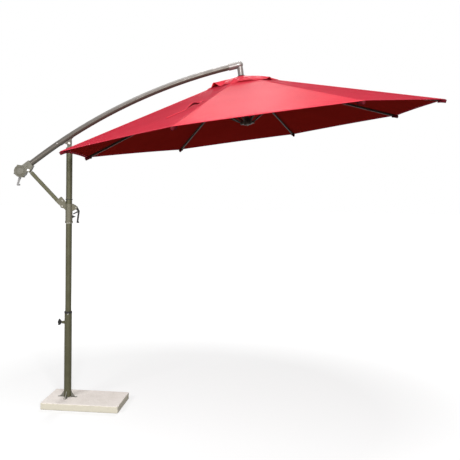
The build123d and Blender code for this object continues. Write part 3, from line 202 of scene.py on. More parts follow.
def cast_stone():
    """Cream stone, darker and yellower on its sides: the yellow is the stone's tint, the darkening is painted
    shade. Broad sandy clouds, small dark specks, and a pitted surface.
    """
    finish = Finish("cast_stone", STONE_CREAM, 0.85)
    clouds = finish.spread(finish.noise(9, 5, 0.6), 0.42, 0.72)
    grains = finish.spread(finish.noise(260, 3, 0.65), 0.60, 0.74)
    upward = finish.node("ShaderNodeSeparateXYZ", inputs={"Vector": finish.facing}).outputs["Z"]
    top = finish.blend(clouds, STONE_CREAM, STONE_SAND)
    # Painted shade: faces that turn away from up take the darker, yellower side colour.
    colour = finish.blend(finish.spread(upward, 0.25, 0.8), STONE_SHADED_SIDE, top)
    finish.feed("Base Color", finish.blend(grains, colour, STONE_SPECK))
    finish.bump(finish.noise(140, 6, 0.7), 0.004, 0.7)
    return finish.material


def rounded_outline(length, width, corner, count):
    """Points around a rectangle, anticlockwise: a circle wider than the rectangle, clipped to its sides.

    The points at a corner are pulled in by as much as a round corner of that radius would take off.
    """
    turn = np.linspace(0, 2 * pi, count, endpoint=False)
    x = np.clip(OUTLINE_REACH * np.cos(turn), -1, 1)
    y = np.clip(OUTLINE_REACH * np.sin(turn), -1, 1)
    pull = corner * (1 - 1 / np.sqrt(2)) * (np.abs(x * y) ** OUTLINE_SHARPNESS)
    return np.stack([x * (length / 2) - np.sign(x) * pull, y * (width / 2) - np.sign(y) * pull], axis=-1)


slab_edge_turn = np.linspace(0, pi / 2, SLAB_EDGE_STEPS)
slab_inset = np.concatenate(
    [
        SLAB_TOP_RINGS,
        SLAB_EDGE * (1 - np.sin(slab_edge_turn)),
        np.zeros(len(SLAB_SIDE_LEVELS)),
        SLAB_EDGE * (1 - np.cos(slab_edge_turn)),
        [SLAB_UNDER_RING],
    ]
)
slab_height = np.concatenate(
    [
        np.full(len(SLAB_TOP_RINGS), SLAB_THICKNESS),
        SLAB_THICKNESS - SLAB_EDGE * (1 - np.cos(slab_edge_turn)),
        SLAB_THICKNESS * np.array(SLAB_SIDE_LEVELS),
        SLAB_EDGE * (1 - np.sin(slab_edge_turn)),
        [0],
    ]
)
slab_outline = rounded_outline(SLAB_LENGTH, SLAB_WIDTH, SLAB_CORNER, SLAB_AROUND)
slab_shrink = 1 - slab_inset[:, None, None] / (np.array([SLAB_LENGTH, SLAB_WIDTH]) / 2)
slab_flat = slab_outline[None] * slab_shrink
slab_points = np.concatenate(
    [slab_flat, np.broadcast_to(slab_height[:, None, None], slab_flat.shape[:2] + (1,))], axis=-1
)
slab_bumps = ripple(slab_points, WEAR_COARSE, 3) + WEAR_FINE_SHARE * ripple(slab_points, WEAR_FINE, 4)
slab_wear = slab_bumps * SLAB_ROUGHNESS
slab_side = np.clip(1 - slab_inset / WEAR_BAND, 0, 1)[:, None]
slab_upper = np.clip(slab_points[..., 2] / SLAB_THICKNESS, 0, 1)
slab_points[..., :2] *= 1 - (np.abs(slab_wear) * slab_side * slab_upper / WEAR_SPAN)[..., None]
slab_points[..., 2] -= np.abs(slab_wear) * slab_upper**6 * WEAR_TOP_SHARE
slab_points[..., 0] += SLAB_LENGTH / 2 - SLAB_REAR
slab_turned = np.array([[cos(SLAB_TURN), sin(SLAB_TURN)], [-sin(SLAB_TURN), cos(SLAB_TURN)]])
slab_points[..., :2] = slab_points[..., :2] @ slab_turned
slab = grid_piece("stone_slab", slab_points, wrap=True, caps=True)
slab.data.materials.append(cast_stone())
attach(slab, "base")
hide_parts("base_slab")

# Foot of the pole
# Four grey steel gussets are welded around the pole, each on a drilled tab, and four zinc bolts hold the tabs
# to the slab. The pole above them is powder coated; the weld shows as a rippled bead around it.
BRONZE = (0.086, 0.083, 0.049, 1)
BRONZE_DARK = (0.070, 0.067, 0.038, 1)
BRONZE_FLAKE = (0.19, 0.185, 0.12, 1)
STEEL = (0.190, 0.183, 0.160, 1)
STEEL_DARK = (0.150, 0.143, 0.122, 1)
STEEL_FLAKE = (0.36, 0.35, 0.32, 1)
ZINC = (0.42, 0.41, 0.38, 1)
ZINC_BLOOM = (0.28, 0.27, 0.25, 1)
NEW_ZINC = (0.80, 0.79, 0.76, 1)
NEW_ZINC_BLOOM = (0.62, 0.61, 0.58, 1)
LOWER_RADIUS = 0.029
WELD_RADIUS = 0.0028
WELD_STEPS = 288
WELD_AROUND = 12
WELD_RIPPLE = 0.18
WELD_RIPPLES = 48
STEEP = 0.9


def metal_coat(name, colour, cloud, flake_colour, metallic, gloss):
    """Satin powder coat on steel: faint cloudiness, fine metal flake and an orange-peel surface."""
    finish = Finish(name, colour, 0.4, metallic)
    clouds = finish.spread(finish.noise(14, 3), 0.35, 0.7)
    flake = finish.spread(finish.noise(1400, 1), 0.55, 0.8, 0, 0.16)
    finish.feed("Base Color", finish.blend(flake, finish.blend(clouds, colour, cloud), flake_colour))
    finish.feed("Roughness", finish.spread(finish.noise(35, 4), 0.3, 0.7, 0.34, 0.46))
    finish.bump(finish.noise(420, 2), 0.0004, 0.2)
    finish.shine(gloss)
    return finish.material


def zinc_plate(name, colour, bloom_colour):
    """Zinc on steel: greyish with a patchy dull bloom."""
    finish = Finish(name, colour, 0.34, 1.0)
    bloom = finish.spread(finish.noise(180, 4), 0.4, 0.7)
    finish.feed("Base Color", finish.blend(bloom, colour, bloom_colour))
    finish.feed("Roughness", finish.spread(bloom, 0, 1, 0.26, 0.46))
    finish.bump(finish.noise(900, 2), 0.0003, 0.3)
    return finish.material


def dress(material, *names):
    """Gives model nodes a material in place of their plain one."""
    for name in names:
        node = nodes[name]
        if not node.material_slots:
            node.data.materials.append(material)
        for place in node.material_slots:
            place.material = material


def tube_points(path, radius, around, closed=False):
    """A round tube: circles square to a path, of one radius or a radius for each of its points.

    The circle's first axis is kept square to the path and as level as it can be.
    """
    if closed:
        ahead = np.roll(path, -1, axis=0) - np.roll(path, 1, axis=0)
    else:
        ahead = np.gradient(path, axis=0)
    ahead /= np.linalg.norm(ahead, axis=1, keepdims=True)
    steady = np.where(np.abs(ahead[:, 2:]) < STEEP, [[0.0, 0.0, 1.0]], [[0.0, 1.0, 0.0]])
    first = np.cross(ahead, steady)
    first /= np.linalg.norm(first, axis=1, keepdims=True)
    second = np.cross(ahead, first)
    turn = np.linspace(0, 2 * pi, around, endpoint=False)
    size = np.broadcast_to(np.asarray(radius, float), len(path))[:, None, None]
    circle = first[:, None] * np.cos(turn)[None, :, None] - second[:, None] * np.sin(turn)[None, :, None]
    points = path[:, None] + circle * size
    return np.concatenate([points, points[:1]]) if closed else points


bronze = metal_coat("bronze_coat", BRONZE, BRONZE_DARK, BRONZE_FLAKE, 0.15, 0.12)
steel = metal_coat("grey_steel", STEEL, STEEL_DARK, STEEL_FLAKE, 0.3, 0.3)
zinc = zinc_plate("zinc_plate", ZINC, ZINC_BLOOM)
dress(bronze, "lower_pole")
dress(steel, "foot_gussets")
dress(zinc_plate("new_zinc_plate", NEW_ZINC, NEW_ZINC_BLOOM), "anchor_bolts")
weld_turn = np.linspace(0, 2 * pi, WELD_STEPS, endpoint=False)
weld_path = np.stack(
    [
        LOWER_RADIUS * np.cos(weld_turn),
        LOWER_RADIUS * np.sin(weld_turn),
        np.full_like(weld_turn, SLAB_THICKNESS + WELD_RADIUS / 2),
    ],
    axis=-1,
)
weld_size = WELD_RADIUS * (1 + WELD_RIPPLE * np.sin(WELD_RIPPLES * weld_turn))
foot_weld = grid_piece("foot_weld", tube_points(weld_path, weld_size, WELD_AROUND, True), wrap=True)
foot_weld.data.materials.append(steel)
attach(foot_weld, "base")

# Collar and clamp
# A black plastic collar with a bush closes the lower pole, held by a small screw below its rim. A star knob
# on a zinc stud screws through a boss welded to the pole, and clamps the mast at its turn and height.
CHARCOAL = (0.022, 0.022, 0.021, 1)
CHARCOAL_BLOOM = (0.05, 0.049, 0.046, 1)
HEAD_AROUND = 24
HEAD_STEPS = 9
HEAD_START = 0.05
SCREW_RADIUS = 0.0042
SCREW_RISE = 0.0018
SCREW_LIP = 0.0006
SCREW_CLEAR = 0.0001
SCREW_HEIGHT = 0.7255
BOSS_HEIGHT = 0.656
BOSS_RADIUS = 0.012
BOSS_TURN = radians(172)
BOSS_WELD_RADIUS = 0.0016
BOSS_WELD_AROUND = 10
BOSS_WELD_RIPPLE = 0.2
BOSS_WELD_RIPPLES = 24


def black_plastic():
    """Moulded black plastic: a fine grain, with a faint grey bloom from the weather."""
    finish = Finish("black_plastic", CHARCOAL, 0.5)
    bloom = finish.spread(finish.noise(60, 4), 0.45, 0.8)
    finish.feed("Base Color", finish.blend(bloom, CHARCOAL, CHARCOAL_BLOOM))
    finish.feed("Roughness", finish.spread(bloom, 0, 1, 0.42, 0.62))
    finish.bump(finish.noise(1100, 2), 0.0003, 0.35)
    finish.shine(0.12)
    return finish.material


def turned_points(centre, axis, profile, around):
    """A turned shape: each (out, along) pair of a profile swept about an axis through a centre.

    The profile goes from the far tip of the axis outward and back, so that the faces point outwards.
    """
    axis = np.asarray(axis, float)
    side = np.cross(axis, [0.0, 0.0, 1.0] if abs(axis[2]) < STEEP else [1.0, 0.0, 0.0])
    side /= np.linalg.norm(side)
    other = np.cross(axis, side)
    turn = np.linspace(0, 2 * pi, around, endpoint=False)
    spoke = side * np.cos(turn)[:, None] + other * np.sin(turn)[:, None]
    out = np.array([pair[0] for pair in profile])
    along = np.array([pair[1] for pair in profile])
    return np.asarray(centre) + out[:, None, None] * spoke[None] + along[:, None, None] * axis


def dome_profile(radius, height, lip=0.0):
    """Profile of a domed head: a quarter of an ellipse, then a straight lip down."""
    turn = np.linspace(HEAD_START, pi / 2, HEAD_STEPS)
    dome = np.stack([radius * np.sin(turn), lip + height * np.cos(turn)], axis=-1)
    return np.concatenate([dome, [[radius, 0.0]]])


black = black_plastic()
dress(black, "pole_collar", "clamp_knob")
dress(zinc, "knob_stud")
collar_screw = grid_piece(
    "collar_screw",
    turned_points(
        (0, -LOWER_RADIUS - SCREW_CLEAR, SCREW_HEIGHT),
        (0, -1, 0),
        dome_profile(SCREW_RADIUS, SCREW_RISE, SCREW_LIP),
        HEAD_AROUND,
    ),
    wrap=True,
    caps=True,
)
collar_screw.data.materials.append(zinc)
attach(collar_screw, "base")
boss_weld_reach = np.sqrt(LOWER_RADIUS**2 - (BOSS_RADIUS * np.cos(weld_turn)) ** 2)
boss_weld_path = np.stack(
    [
        boss_weld_reach * cos(BOSS_TURN) - BOSS_RADIUS * np.cos(weld_turn) * sin(BOSS_TURN),
        boss_weld_reach * sin(BOSS_TURN) + BOSS_RADIUS * np.cos(weld_turn) * cos(BOSS_TURN),
        BOSS_HEIGHT + BOSS_RADIUS * np.sin(weld_turn),
    ],
    axis=-1,
)
boss_weld_size = BOSS_WELD_RADIUS * (1 + BOSS_WELD_RIPPLE * np.sin(BOSS_WELD_RIPPLES * weld_turn))
boss_weld_points = tube_points(boss_weld_path, boss_weld_size, BOSS_WELD_AROUND, True)
boss_weld = grid_piece("boss_weld", boss_weld_points, wrap=True)
boss_weld.data.materials.append(bronze)
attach(boss_weld, "base")

# Mast
# The upper pole is a steel tube that turns in the collar, with a row of index holes near its top.
# A cast plug in its end carries the boom's pivot.
CAST_GREY = (0.130, 0.124, 0.100, 1)
CAST_DARK = (0.100, 0.095, 0.076, 1)


def cast_alloy():
    """Painted alloy casting: bronze-grey, a little mottled, with the soft grain of the mould."""
    finish = Finish("cast_alloy", CAST_GREY, 0.42, 0.1)
    mottle = finish.spread(finish.noise(70, 4), 0.35, 0.7)
    finish.feed("Base Color", finish.blend(mottle, CAST_GREY, CAST_DARK))
    finish.feed("Roughness", finish.spread(finish.noise(90, 3), 0.3, 0.7, 0.34, 0.52))
    finish.bump(finish.noise(520, 3), 0.0006, 0.35)
    finish.shine(0.2)
    return finish.material


alloy = cast_alloy()
dress(bronze, "upper_pole")
dress(alloy, "mast_head")

# Slider
# A sleeve slides on the mast with the strut's bracket on its rear and the clamp lever on its front. The
# lever's cam presses a rubber shoe on the mast. The lever is black plastic and the pins are zinc. A nylon
# glide closes the sleeve below, and a rubber wiper runs on the mast above it.
OLIVE = (0.130, 0.122, 0.088, 1)
OLIVE_DARK = (0.112, 0.105, 0.074, 1)
OLIVE_FLAKE = (0.24, 0.23, 0.17, 1)
DULL_ZINC = (0.24, 0.23, 0.20, 1)
DULL_ZINC_BLOOM = (0.15, 0.145, 0.125, 1)
NYLON = (0.52, 0.51, 0.45, 1)
NYLON_SOILED = (0.40, 0.39, 0.33, 1)
RUBBER = (0.02, 0.02, 0.02, 1)
RING_RADIUS = 0.0270
GLIDE_RADIUS = 0.0022
WIPER_RISE = 0.034
RING_STEPS = 96
RING_AROUND = 12


def shoe_rubber():
    """Black rubber, dull, with a fine matt grain."""
    finish = Finish("shoe_rubber", RUBBER, 0.75)
    finish.feed("Roughness", finish.spread(finish.noise(120, 3), 0.3, 0.7, 0.65, 0.85))
    finish.bump(finish.noise(700, 2), 0.0004, 0.4)
    return finish.material


def glide_nylon():
    """Pale nylon, matt and a little soiled."""
    finish = Finish("glide_nylon", NYLON, 0.55)
    soil = finish.spread(finish.noise(120, 3), 0.4, 0.7)
    finish.feed("Base Color", finish.blend(soil, NYLON, NYLON_SOILED))
    finish.bump(finish.noise(800, 2), 0.0002, 0.3)
    return finish.material


slider_coat = metal_coat("slider_coat", OLIVE, OLIVE_DARK, OLIVE_FLAKE, 0.15, 0.12)
dress(slider_coat, "slider_sleeve", "slider_bracket")
dress(zinc_plate("dull_zinc", DULL_ZINC, DULL_ZINC_BLOOM), "bracket_pins")
rubber = shoe_rubber()
dress(rubber, "brake_shoe")
dress(black, "clamp_lever", "lever_stop")
sleeve_low, sleeve_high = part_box("slider_sleeve")
ring_turn = np.linspace(0, 2 * pi, RING_STEPS, endpoint=False)
ring_x = RING_RADIUS * np.cos(ring_turn)
ring_y = RING_RADIUS * np.sin(ring_turn)
for ring_name, ring_height, ring_finish in (
    ("slider_wiper", sleeve_high[2] + WIPER_RISE, rubber),
    ("slider_glide", sleeve_low[2] - GLIDE_RADIUS, glide_nylon()),
):
    ring_path = np.stack([ring_x, ring_y, np.full(RING_STEPS, ring_height)], axis=-1)
    ring = grid_piece(ring_name, tube_points(ring_path, GLIDE_RADIUS, RING_AROUND, closed=True), wrap=True)
    ring.data.materials.append(ring_finish)
    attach(ring, "slider")

# Strut
# A flat-sided steel tube from the winch housing down to the slider, with a cast fitting in each end.
dress(bronze, "strut_tube")
dress(alloy, "strut_ends")

# Boom
# One bent steel tube carries the canopy from its front end. A folded saddle is riveted under it and pivots on
# the mast head by a zinc bolt. The brown coat is paler along its top, a painted highlight.
BOOM_BROWN = (0.078, 0.068, 0.056, 1)
# Colour of the painted highlight along the top of the boom.
BOOM_HIGHLIGHT_COLOUR = (0.420, 0.400, 0.380, 1)
BOOM_FLAKE = (0.30, 0.28, 0.26, 1)
RIVET_RADIUS = 0.0055
RIVET_RISE = 0.003
RIVET_LIP = 0.0004
RIVET_PLACE = (-0.0915, 2.0695)
BOOM_SIDE = 0.0228
BOOM_HIGHLIGHT_SPAN = (-0.10, 0.60)


def painted_highlight_coat(name, shaded):
    """Brown metallic coat with fine flake, paler where it faces up and more so toward the canopy: a painted
    highlight.
    """
    finish = Finish(name, shaded, 0.4, 0.4)
    height = finish.node("ShaderNodeSeparateXYZ", inputs={"Vector": finish.facing}).outputs["Z"]
    clouds = finish.spread(finish.noise(11, 4), 0.3, 0.7, -0.08, 0.08)
    uneven = finish.calculate("ADD", height, clouds)
    along = finish.node("ShaderNodeSeparateXYZ", inputs={"Vector": finish.place}).outputs["X"]
    highlight_reach = finish.spread(along, *BOOM_HIGHLIGHT_SPAN, 0.18, 1.0)
    upper = finish.spread(uneven, 0.0, 0.62)
    # Painted highlight: the coat turns paler where it faces up, more toward the canopy.
    painted_highlight = finish.calculate("MULTIPLY", upper, highlight_reach)
    flake = finish.spread(finish.noise(1400, 1), 0.55, 0.8, 0, 0.16)
    colour = finish.blend(painted_highlight, shaded, BOOM_HIGHLIGHT_COLOUR)
    finish.feed("Base Color", finish.blend(flake, colour, BOOM_FLAKE))
    finish.feed("Roughness", finish.spread(finish.noise(35, 4), 0.3, 0.7, 0.32, 0.44))
    finish.bump(finish.noise(420, 2), 0.0004, 0.2)
    finish.shine(0.3)
    return finish.material


boom_highlight_coat = painted_highlight_coat("painted_highlight_coat", BOOM_BROWN)
dress(boom_highlight_coat, "boom_tube", "boom_saddle")
dress(zinc, "pivot_bolt")
for side, side_name in ((-1, "front"), (1, "back")):
    rivet = grid_piece(
        f"boom_rivet_{side_name}",
        turned_points(
            (RIVET_PLACE[0], side * BOOM_SIDE, RIVET_PLACE[1]),
            (0, side, 0),
            dome_profile(RIVET_RADIUS, RIVET_RISE, RIVET_LIP),
            HEAD_AROUND,
        ),
        wrap=True,
        caps=True,
    )
    rivet.data.materials.append(zinc)
    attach(rivet, "boom")

# Winch housing
# Two moulded halves clamp the boom's rear end and hold the winch. Screws join them and a bolt carries the
# strut. The front half has a domed cover over the spool.
HOUSING_GREY = (0.128, 0.120, 0.090, 1)
HOUSING_DARK = (0.104, 0.098, 0.074, 1)
COVER_RADIUS = 0.0405
COVER_DOME_RADIUS = 0.030
COVER_DOME_BASE = 0.0035
COVER_DOME_RISE = 0.004
COVER_DOME_START = 0.04
COVER_DOME_STEPS = 16
COVER_GROOVE = ((0.0315, 0.0022), (0.0335, 0.0022), (0.0350, 0.0042), (0.0385, 0.0042), (0.0400, 0.0030))
COVER_RIM = ((COVER_RADIUS, 0.0010), (COVER_RADIUS, -0.0015))
COVER_AROUND = 96
drum_centre = np.array(joints["crank_turn"]["pos_m"])


def housing_plastic():
    """Grey-bronze moulded plastic: slightly cloudy, with a spark-eroded grain."""
    finish = Finish("housing_plastic", HOUSING_GREY, 0.45)
    clouds = finish.spread(finish.noise(40, 3), 0.35, 0.7)
    finish.feed("Base Color", finish.blend(clouds, HOUSING_GREY, HOUSING_DARK))
    finish.feed("Roughness", finish.spread(clouds, 0, 1, 0.38, 0.52))
    finish.bump(finish.noise(850, 3), 0.0004, 0.4)
    finish.shine(0.3)
    return finish.material


housing = housing_plastic()
dress(housing, "housing_front", "housing_back")
dress(bronze, "housing_screws")
dress(zinc, "strut_bolt")
cover_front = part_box("housing_front")[0][1]
cover_turn = np.linspace(COVER_DOME_START, pi / 2, COVER_DOME_STEPS)
cover_dome = np.stack(
    [COVER_DOME_RADIUS * np.sin(cover_turn), COVER_DOME_BASE + COVER_DOME_RISE * np.cos(cover_turn)], axis=-1
)
cover_profile = np.concatenate([cover_dome, COVER_GROOVE, COVER_RIM])
drum_cover = grid_piece(
    "drum_cover",
    turned_points((drum_centre[0], cover_front, drum_centre[2]), (0, -1, 0), cover_profile, COVER_AROUND),
    wrap=True,
    caps=True,
)
drum_cover.data.materials.append(housing)
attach(drum_cover, "boom")

# Winch
# A crank on the far side turns the shaft and the spool that winds the lifting cord. Its grip turns on its
# own post.
ALLOY_GREY = (0.19, 0.183, 0.18, 1)
GRIP_GREY = (0.30, 0.285, 0.28, 1)
GRIP_HANDLED = (0.22, 0.21, 0.20, 1)


def bright_alloy():
    """Bare alloy of the crank: grey and lightly brushed along its length."""
    finish = Finish("bright_alloy", ALLOY_GREY, 0.4)
    brushed = finish.node("ShaderNodeMapping", inputs={"Vector": finish.place, "Scale": (1, 1, 0.08)})
    lines = finish.noise(900, 3, 0.6, brushed.outputs["Vector"])
    finish.feed("Roughness", finish.spread(lines, 0.3, 0.7, 0.24, 0.44))
    finish.bump(lines, 0.0002, 0.3)
    finish.shine(0.2)
    return finish.material


def grip_plastic():
    """Pale grey moulded plastic of the grip: a fine matt grain with a darker, handled bloom."""
    finish = Finish("grip_plastic", GRIP_GREY, 0.5)
    handled = finish.spread(finish.noise(55, 4), 0.4, 0.75)
    finish.feed("Base Color", finish.blend(handled, GRIP_GREY, GRIP_HANDLED))
    finish.feed("Roughness", finish.spread(handled, 0, 1, 0.52, 0.38))
    finish.bump(finish.noise(1000, 2), 0.0003, 0.35)
    return finish.material


dress(bright_alloy(), "crank_arm")
dress(zinc, "winch_shaft")
dress(black, "cord_spool")
dress(grip_plastic(), "crank_grip")

# Elbow and lifting cord
# A cast elbow joins the boom to the canopy pole and holds the sheave that the cord runs over. The cord goes
# from the spool through the boom and down the pole to the runner.
ELBOW_BROWN = (0.185, 0.168, 0.160, 1)
CORD_PALE = (0.72, 0.69, 0.62, 1)
CORD_SHADE = (0.45, 0.43, 0.38, 1)


def braided_cord():
    """Pale braided cord: fine uneven strands and a soft matt surface."""
    finish = Finish("braided_cord", CORD_PALE, 0.8)
    strands = finish.noise(1500, 2)
    finish.feed("Base Color", finish.blend(strands, CORD_PALE, CORD_SHADE))
    finish.bump(strands, 0.0006, 0.6)
    return finish.material


cord_finish = braided_cord()
# The elbow's coat has the same painted highlight where it faces up.
dress(painted_highlight_coat("elbow_coat", ELBOW_BROWN), "boom_elbow")
dress(zinc, "sheave_axle")
dress(black, "cord_sheave")
dress(cord_finish, "lift_cord", "runner_cord")

# Canopy frame
# A pole hangs from the elbow with the top hub on it and the runner around its lower end. Steel ribs pivot in
# the hub and steel stretchers hold them up from the runner.
RIBS = 8
UMBER = (0.105, 0.078, 0.060, 1)
UMBER_DARK = (0.080, 0.058, 0.045, 1)
UMBER_FLAKE = (0.19, 0.15, 0.12, 1)

umber = metal_coat("umber_coat", UMBER, UMBER_DARK, UMBER_FLAKE, 0.0, 0.06)
dress(bronze, "canopy_pole")
dress(black, "top_hub")
dress(umber, "runner_hub")
dress(umber, *(f"rib_{number}" for number in range(1, RIBS + 1)))
dress(umber, *(f"stretcher_{number}" for number in range(1, RIBS + 1)))

# Canopy gores
# Eight gores of red woven polyester are sewn to each other along the ribs and stretched from the hub to the
# rib tips. Each hangs a little slack between its ribs. The front gore is a paler coral, a painted sheen of
# light.
CANOPY_R = 1.5
CANOPY_RISE = 0.437
INNER_R = 0.125
HUB_TO_APEX = 0.02478
HEM_SAG = 0.012
GORE_SAG = 0.004
SEAM_GAP = 0.0006
CLOTH = 0.001
GORE_ROWS = 97
GORE_COLUMNS = 65
CREASE_HEIGHT = 0.0016
CREASE_COUNT = 13
CREASE_REACH = 0.22
CREASE_DOWN = 1.4
CREASE_ACROSS = 0.6
FRONT_GORE = 6
RED = (0.730, 0.043, 0.076, 1)
RED_DEEP = (0.665, 0.036, 0.065, 1)
RED_SHADE = (0.550, 0.026, 0.050, 1)
RED_INNER = (0.730, 0.034, 0.024, 1)
RED_INNER_DEEP = (0.665, 0.029, 0.020, 1)
RED_INNER_SHADE = (0.550, 0.021, 0.015, 1)
# Paler coral cloth: a painted sheen of light, on the front gore, its hem, the vent cap and the tie strap's
# top.
SHEEN_CORAL = (0.900, 0.066, 0.098, 1)
SHEEN_CORAL_DEEP = (0.850, 0.056, 0.088, 1)
SHEEN_CORAL_SHADE = (0.720, 0.042, 0.070, 1)

half_gore = pi / RIBS
gore_slope = atan(CANOPY_RISE / CANOPY_R / cos(half_gore))
canopy_up = -np.array(joints["runner_slide"]["axis"])
canopy_ahead = np.cross([0.0, 1.0, 0.0], canopy_up)
canopy_left = np.array([0.0, 1.0, 0.0])
fold_names = ["canopy_fold"] + [f"rib_fold_{number}" for number in range(2, RIBS + 1)]
hub_centre = np.mean([joints[name]["pos_m"] for name in fold_names], axis=0)
apex = hub_centre + canopy_up * HUB_TO_APEX


def spoke(turn):
    """Outward direction in the canopy's level plane, at a turn around its axis."""
    return canopy_ahead * cos(turn) + canopy_left * sin(turn)


def gore_axes(number):
    """Directions of a gore's plane: down its middle, across it anticlockwise, and square out of it."""
    middle = spoke(2 * half_gore * number)
    down = middle * cos(gore_slope) - canopy_up * sin(gore_slope)
    across = np.cross(canopy_up, middle)
    out = middle * sin(gore_slope) + canopy_up * cos(gore_slope)
    return down, across, out


def gore_place(number, down, across, lift):
    """Points on a gore's plane, by the distance down its middle, across it and out of it."""
    axes = gore_axes(number)
    return apex + down[..., None] * axes[0] + across[..., None] * axes[1] + lift[..., None] * axes[2]


def corner_down(radius):
    """Distance down a gore's middle that belongs to this radius of its corners."""
    return radius * cos(half_gore) / cos(gore_slope)


def corner_half(radius):
    """Half the width of a gore at this radius of its corners."""
    return radius * sin(half_gore) - SEAM_GAP / 2


def rib_axes(number):
    """Directions at the seam over a rib: level across it anticlockwise, and down along it."""
    outward = spoke(half_gore * (2 * number - 1))
    ridge = outward - canopy_up * (CANOPY_RISE / CANOPY_R)
    return np.cross(canopy_up, outward), ridge / np.linalg.norm(ridge)


def bell(value, place, width):
    """A bell-shaped hump of height 1 at a place."""
    return np.exp(-(((value - place) / width) ** 2))


def gore_lift(share, side, number):
    """Height of the cloth off its flat plane: slack between the ribs, and faint creases at the corners."""
    slack = -GORE_SAG * (1 - side**2) * np.sin(pi * np.clip(share, 0, 1)) ** 0.8
    far = np.hypot((1 - share) * CREASE_DOWN, (1 - np.abs(side)) * share * CREASE_ACROSS)
    bearing = np.arctan2((1 - share) * CREASE_DOWN, (1 - np.abs(side)) * CREASE_ACROSS + 1e-6)
    creases = CREASE_HEIGHT * np.sin(CREASE_COUNT * bearing + number) * bell(far, 0, CREASE_REACH)
    return slack + creases * (1 - side**8)


def woven_red(name, gloss, bright, deep, shaded):
    """Red woven polyester: crossing threads, slight fading in clouds, and a coating of some gloss."""
    finish = Finish(name, bright, 0.62)
    cut = finish.node("ShaderNodeUVMap", props={"uv_map": "cut"}).outputs["UV"]
    fade = finish.spread(finish.noise(3.5, 4, 0.55), 0.35, 0.7)
    threads = finish.node("ShaderNodeTexChecker", inputs={"Vector": cut, "Scale": 1100})
    slub = finish.noise(500, 2, 0.5, cut)
    colour = finish.blend(fade, bright, deep)
    shade = finish.spread(slub, 0.3, 0.8, 0.0, 0.25)
    finish.feed("Base Color", finish.blend(shade, colour, shaded))
    finish.feed("Roughness", finish.spread(slub, 0.3, 0.7, 0.46, 0.58))
    finish.bump(threads.outputs["Fac"], 0.0002, 0.35)
    finish.shine(gloss)
    return finish.material


def thicken(piece, thickness, offset=-1.0):
    """Gives a sheet its thickness, inward from its outer face unless offset says otherwise.

    The inner face takes the sheet's last material.
    """
    wall = piece.modifiers.new("thickness", "SOLIDIFY")
    wall.thickness = thickness
    wall.offset = offset
    wall.use_even_offset = False
    wall.material_offset = len(piece.data.materials) - 1


def hang_cloth(piece, number, squash=True):
    """Fixes a piece of cloth to its rib's body; with squash, the piece gets its own copy of its mesh."""
    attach(piece, f"rib_arm_{number}")
    if squash:
        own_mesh(piece)


cloth = woven_red("woven_red", 0.0015, RED, RED_DEEP, RED_SHADE)
cloth_painted_sheen = woven_red("woven_red_painted_sheen", 0.008, SHEEN_CORAL, SHEEN_CORAL_DEEP, SHEEN_CORAL_SHADE)
cloth_inside = woven_red("woven_red_inside", 0.0, RED_INNER, RED_INNER_DEEP, RED_INNER_SHADE)
inner_down = corner_down(INNER_R)
outer_down = corner_down(CANOPY_R)
gore_share = np.linspace(0, 1, GORE_ROWS)[:, None]
gore_side = np.linspace(-1, 1, GORE_COLUMNS)[None]
gore_radius = INNER_R + (CANOPY_R - INNER_R) * gore_share
gore_down = corner_down(gore_radius) - HEM_SAG * (1 - gore_side**2) * gore_share**3
gore_across = gore_side * corner_half(gore_radius)
gore_uv = np.stack(np.broadcast_arrays(gore_across, gore_down), axis=-1)
gores = {}
for number in range(1, RIBS + 1):
    gore = grid_piece(
        f"canopy_gore_{number}",
        gore_place(number, gore_down, gore_across, gore_lift(gore_share, gore_side, number)),
        uv=gore_uv,
    )
    # The front gore takes the coral cloth of the painted sheen.
    gore.data.materials.append(cloth_painted_sheen if number == FRONT_GORE else cloth)
    gore.data.materials.append(cloth_inside)
    thicken(gore, CLOTH)
    gores[number] = gore

# Hem
# The rim of each gore is folded over and sewn, which leaves a narrow double band with two rows of stitches.
HEM_WIDTH = 0.024
HEM_THICKNESS = 0.0026
HEM_RAISE = 0.0006
HEM_ROUND = 0.0004
HEM_ROWS = 7
STITCH_RED = (0.72, 0.16, 0.19, 1)
STITCHES_PER_METRE = 200.0
STITCH_SHARE = 0.62
STITCH_INSET = 0.2
STITCH_HALF = 0.05


def stitched_red(name, bright, deep):
    """Folded red cloth with two rows of pale red stitches along it; the map runs along the band in metres."""
    finish = Finish(name, bright, 0.66)
    cut = finish.node("ShaderNodeUVMap", props={"uv_map": "cut"}).outputs["UV"]
    parts = finish.node("ShaderNodeSeparateXYZ", inputs={"Vector": cut})
    along = finish.calculate("FRACT", finish.calculate("MULTIPLY", parts.outputs["X"], STITCHES_PER_METRE))
    dash = finish.calculate("LESS_THAN", along, STITCH_SHARE)
    inset = finish.calculate("PINGPONG", parts.outputs["Y"], 0.5)
    row = finish.calculate("COMPARE", inset, STITCH_INSET, STITCH_HALF)
    thread = finish.calculate("MULTIPLY", dash, row)
    slub = finish.spread(finish.noise(420, 2, 0.5), 0.3, 0.8)
    colour = finish.blend(slub, bright, deep)
    finish.feed("Base Color", finish.blend(thread, colour, STITCH_RED))
    finish.bump(thread, 0.0006, 0.5)
    finish.shine(0.006)
    return finish.material


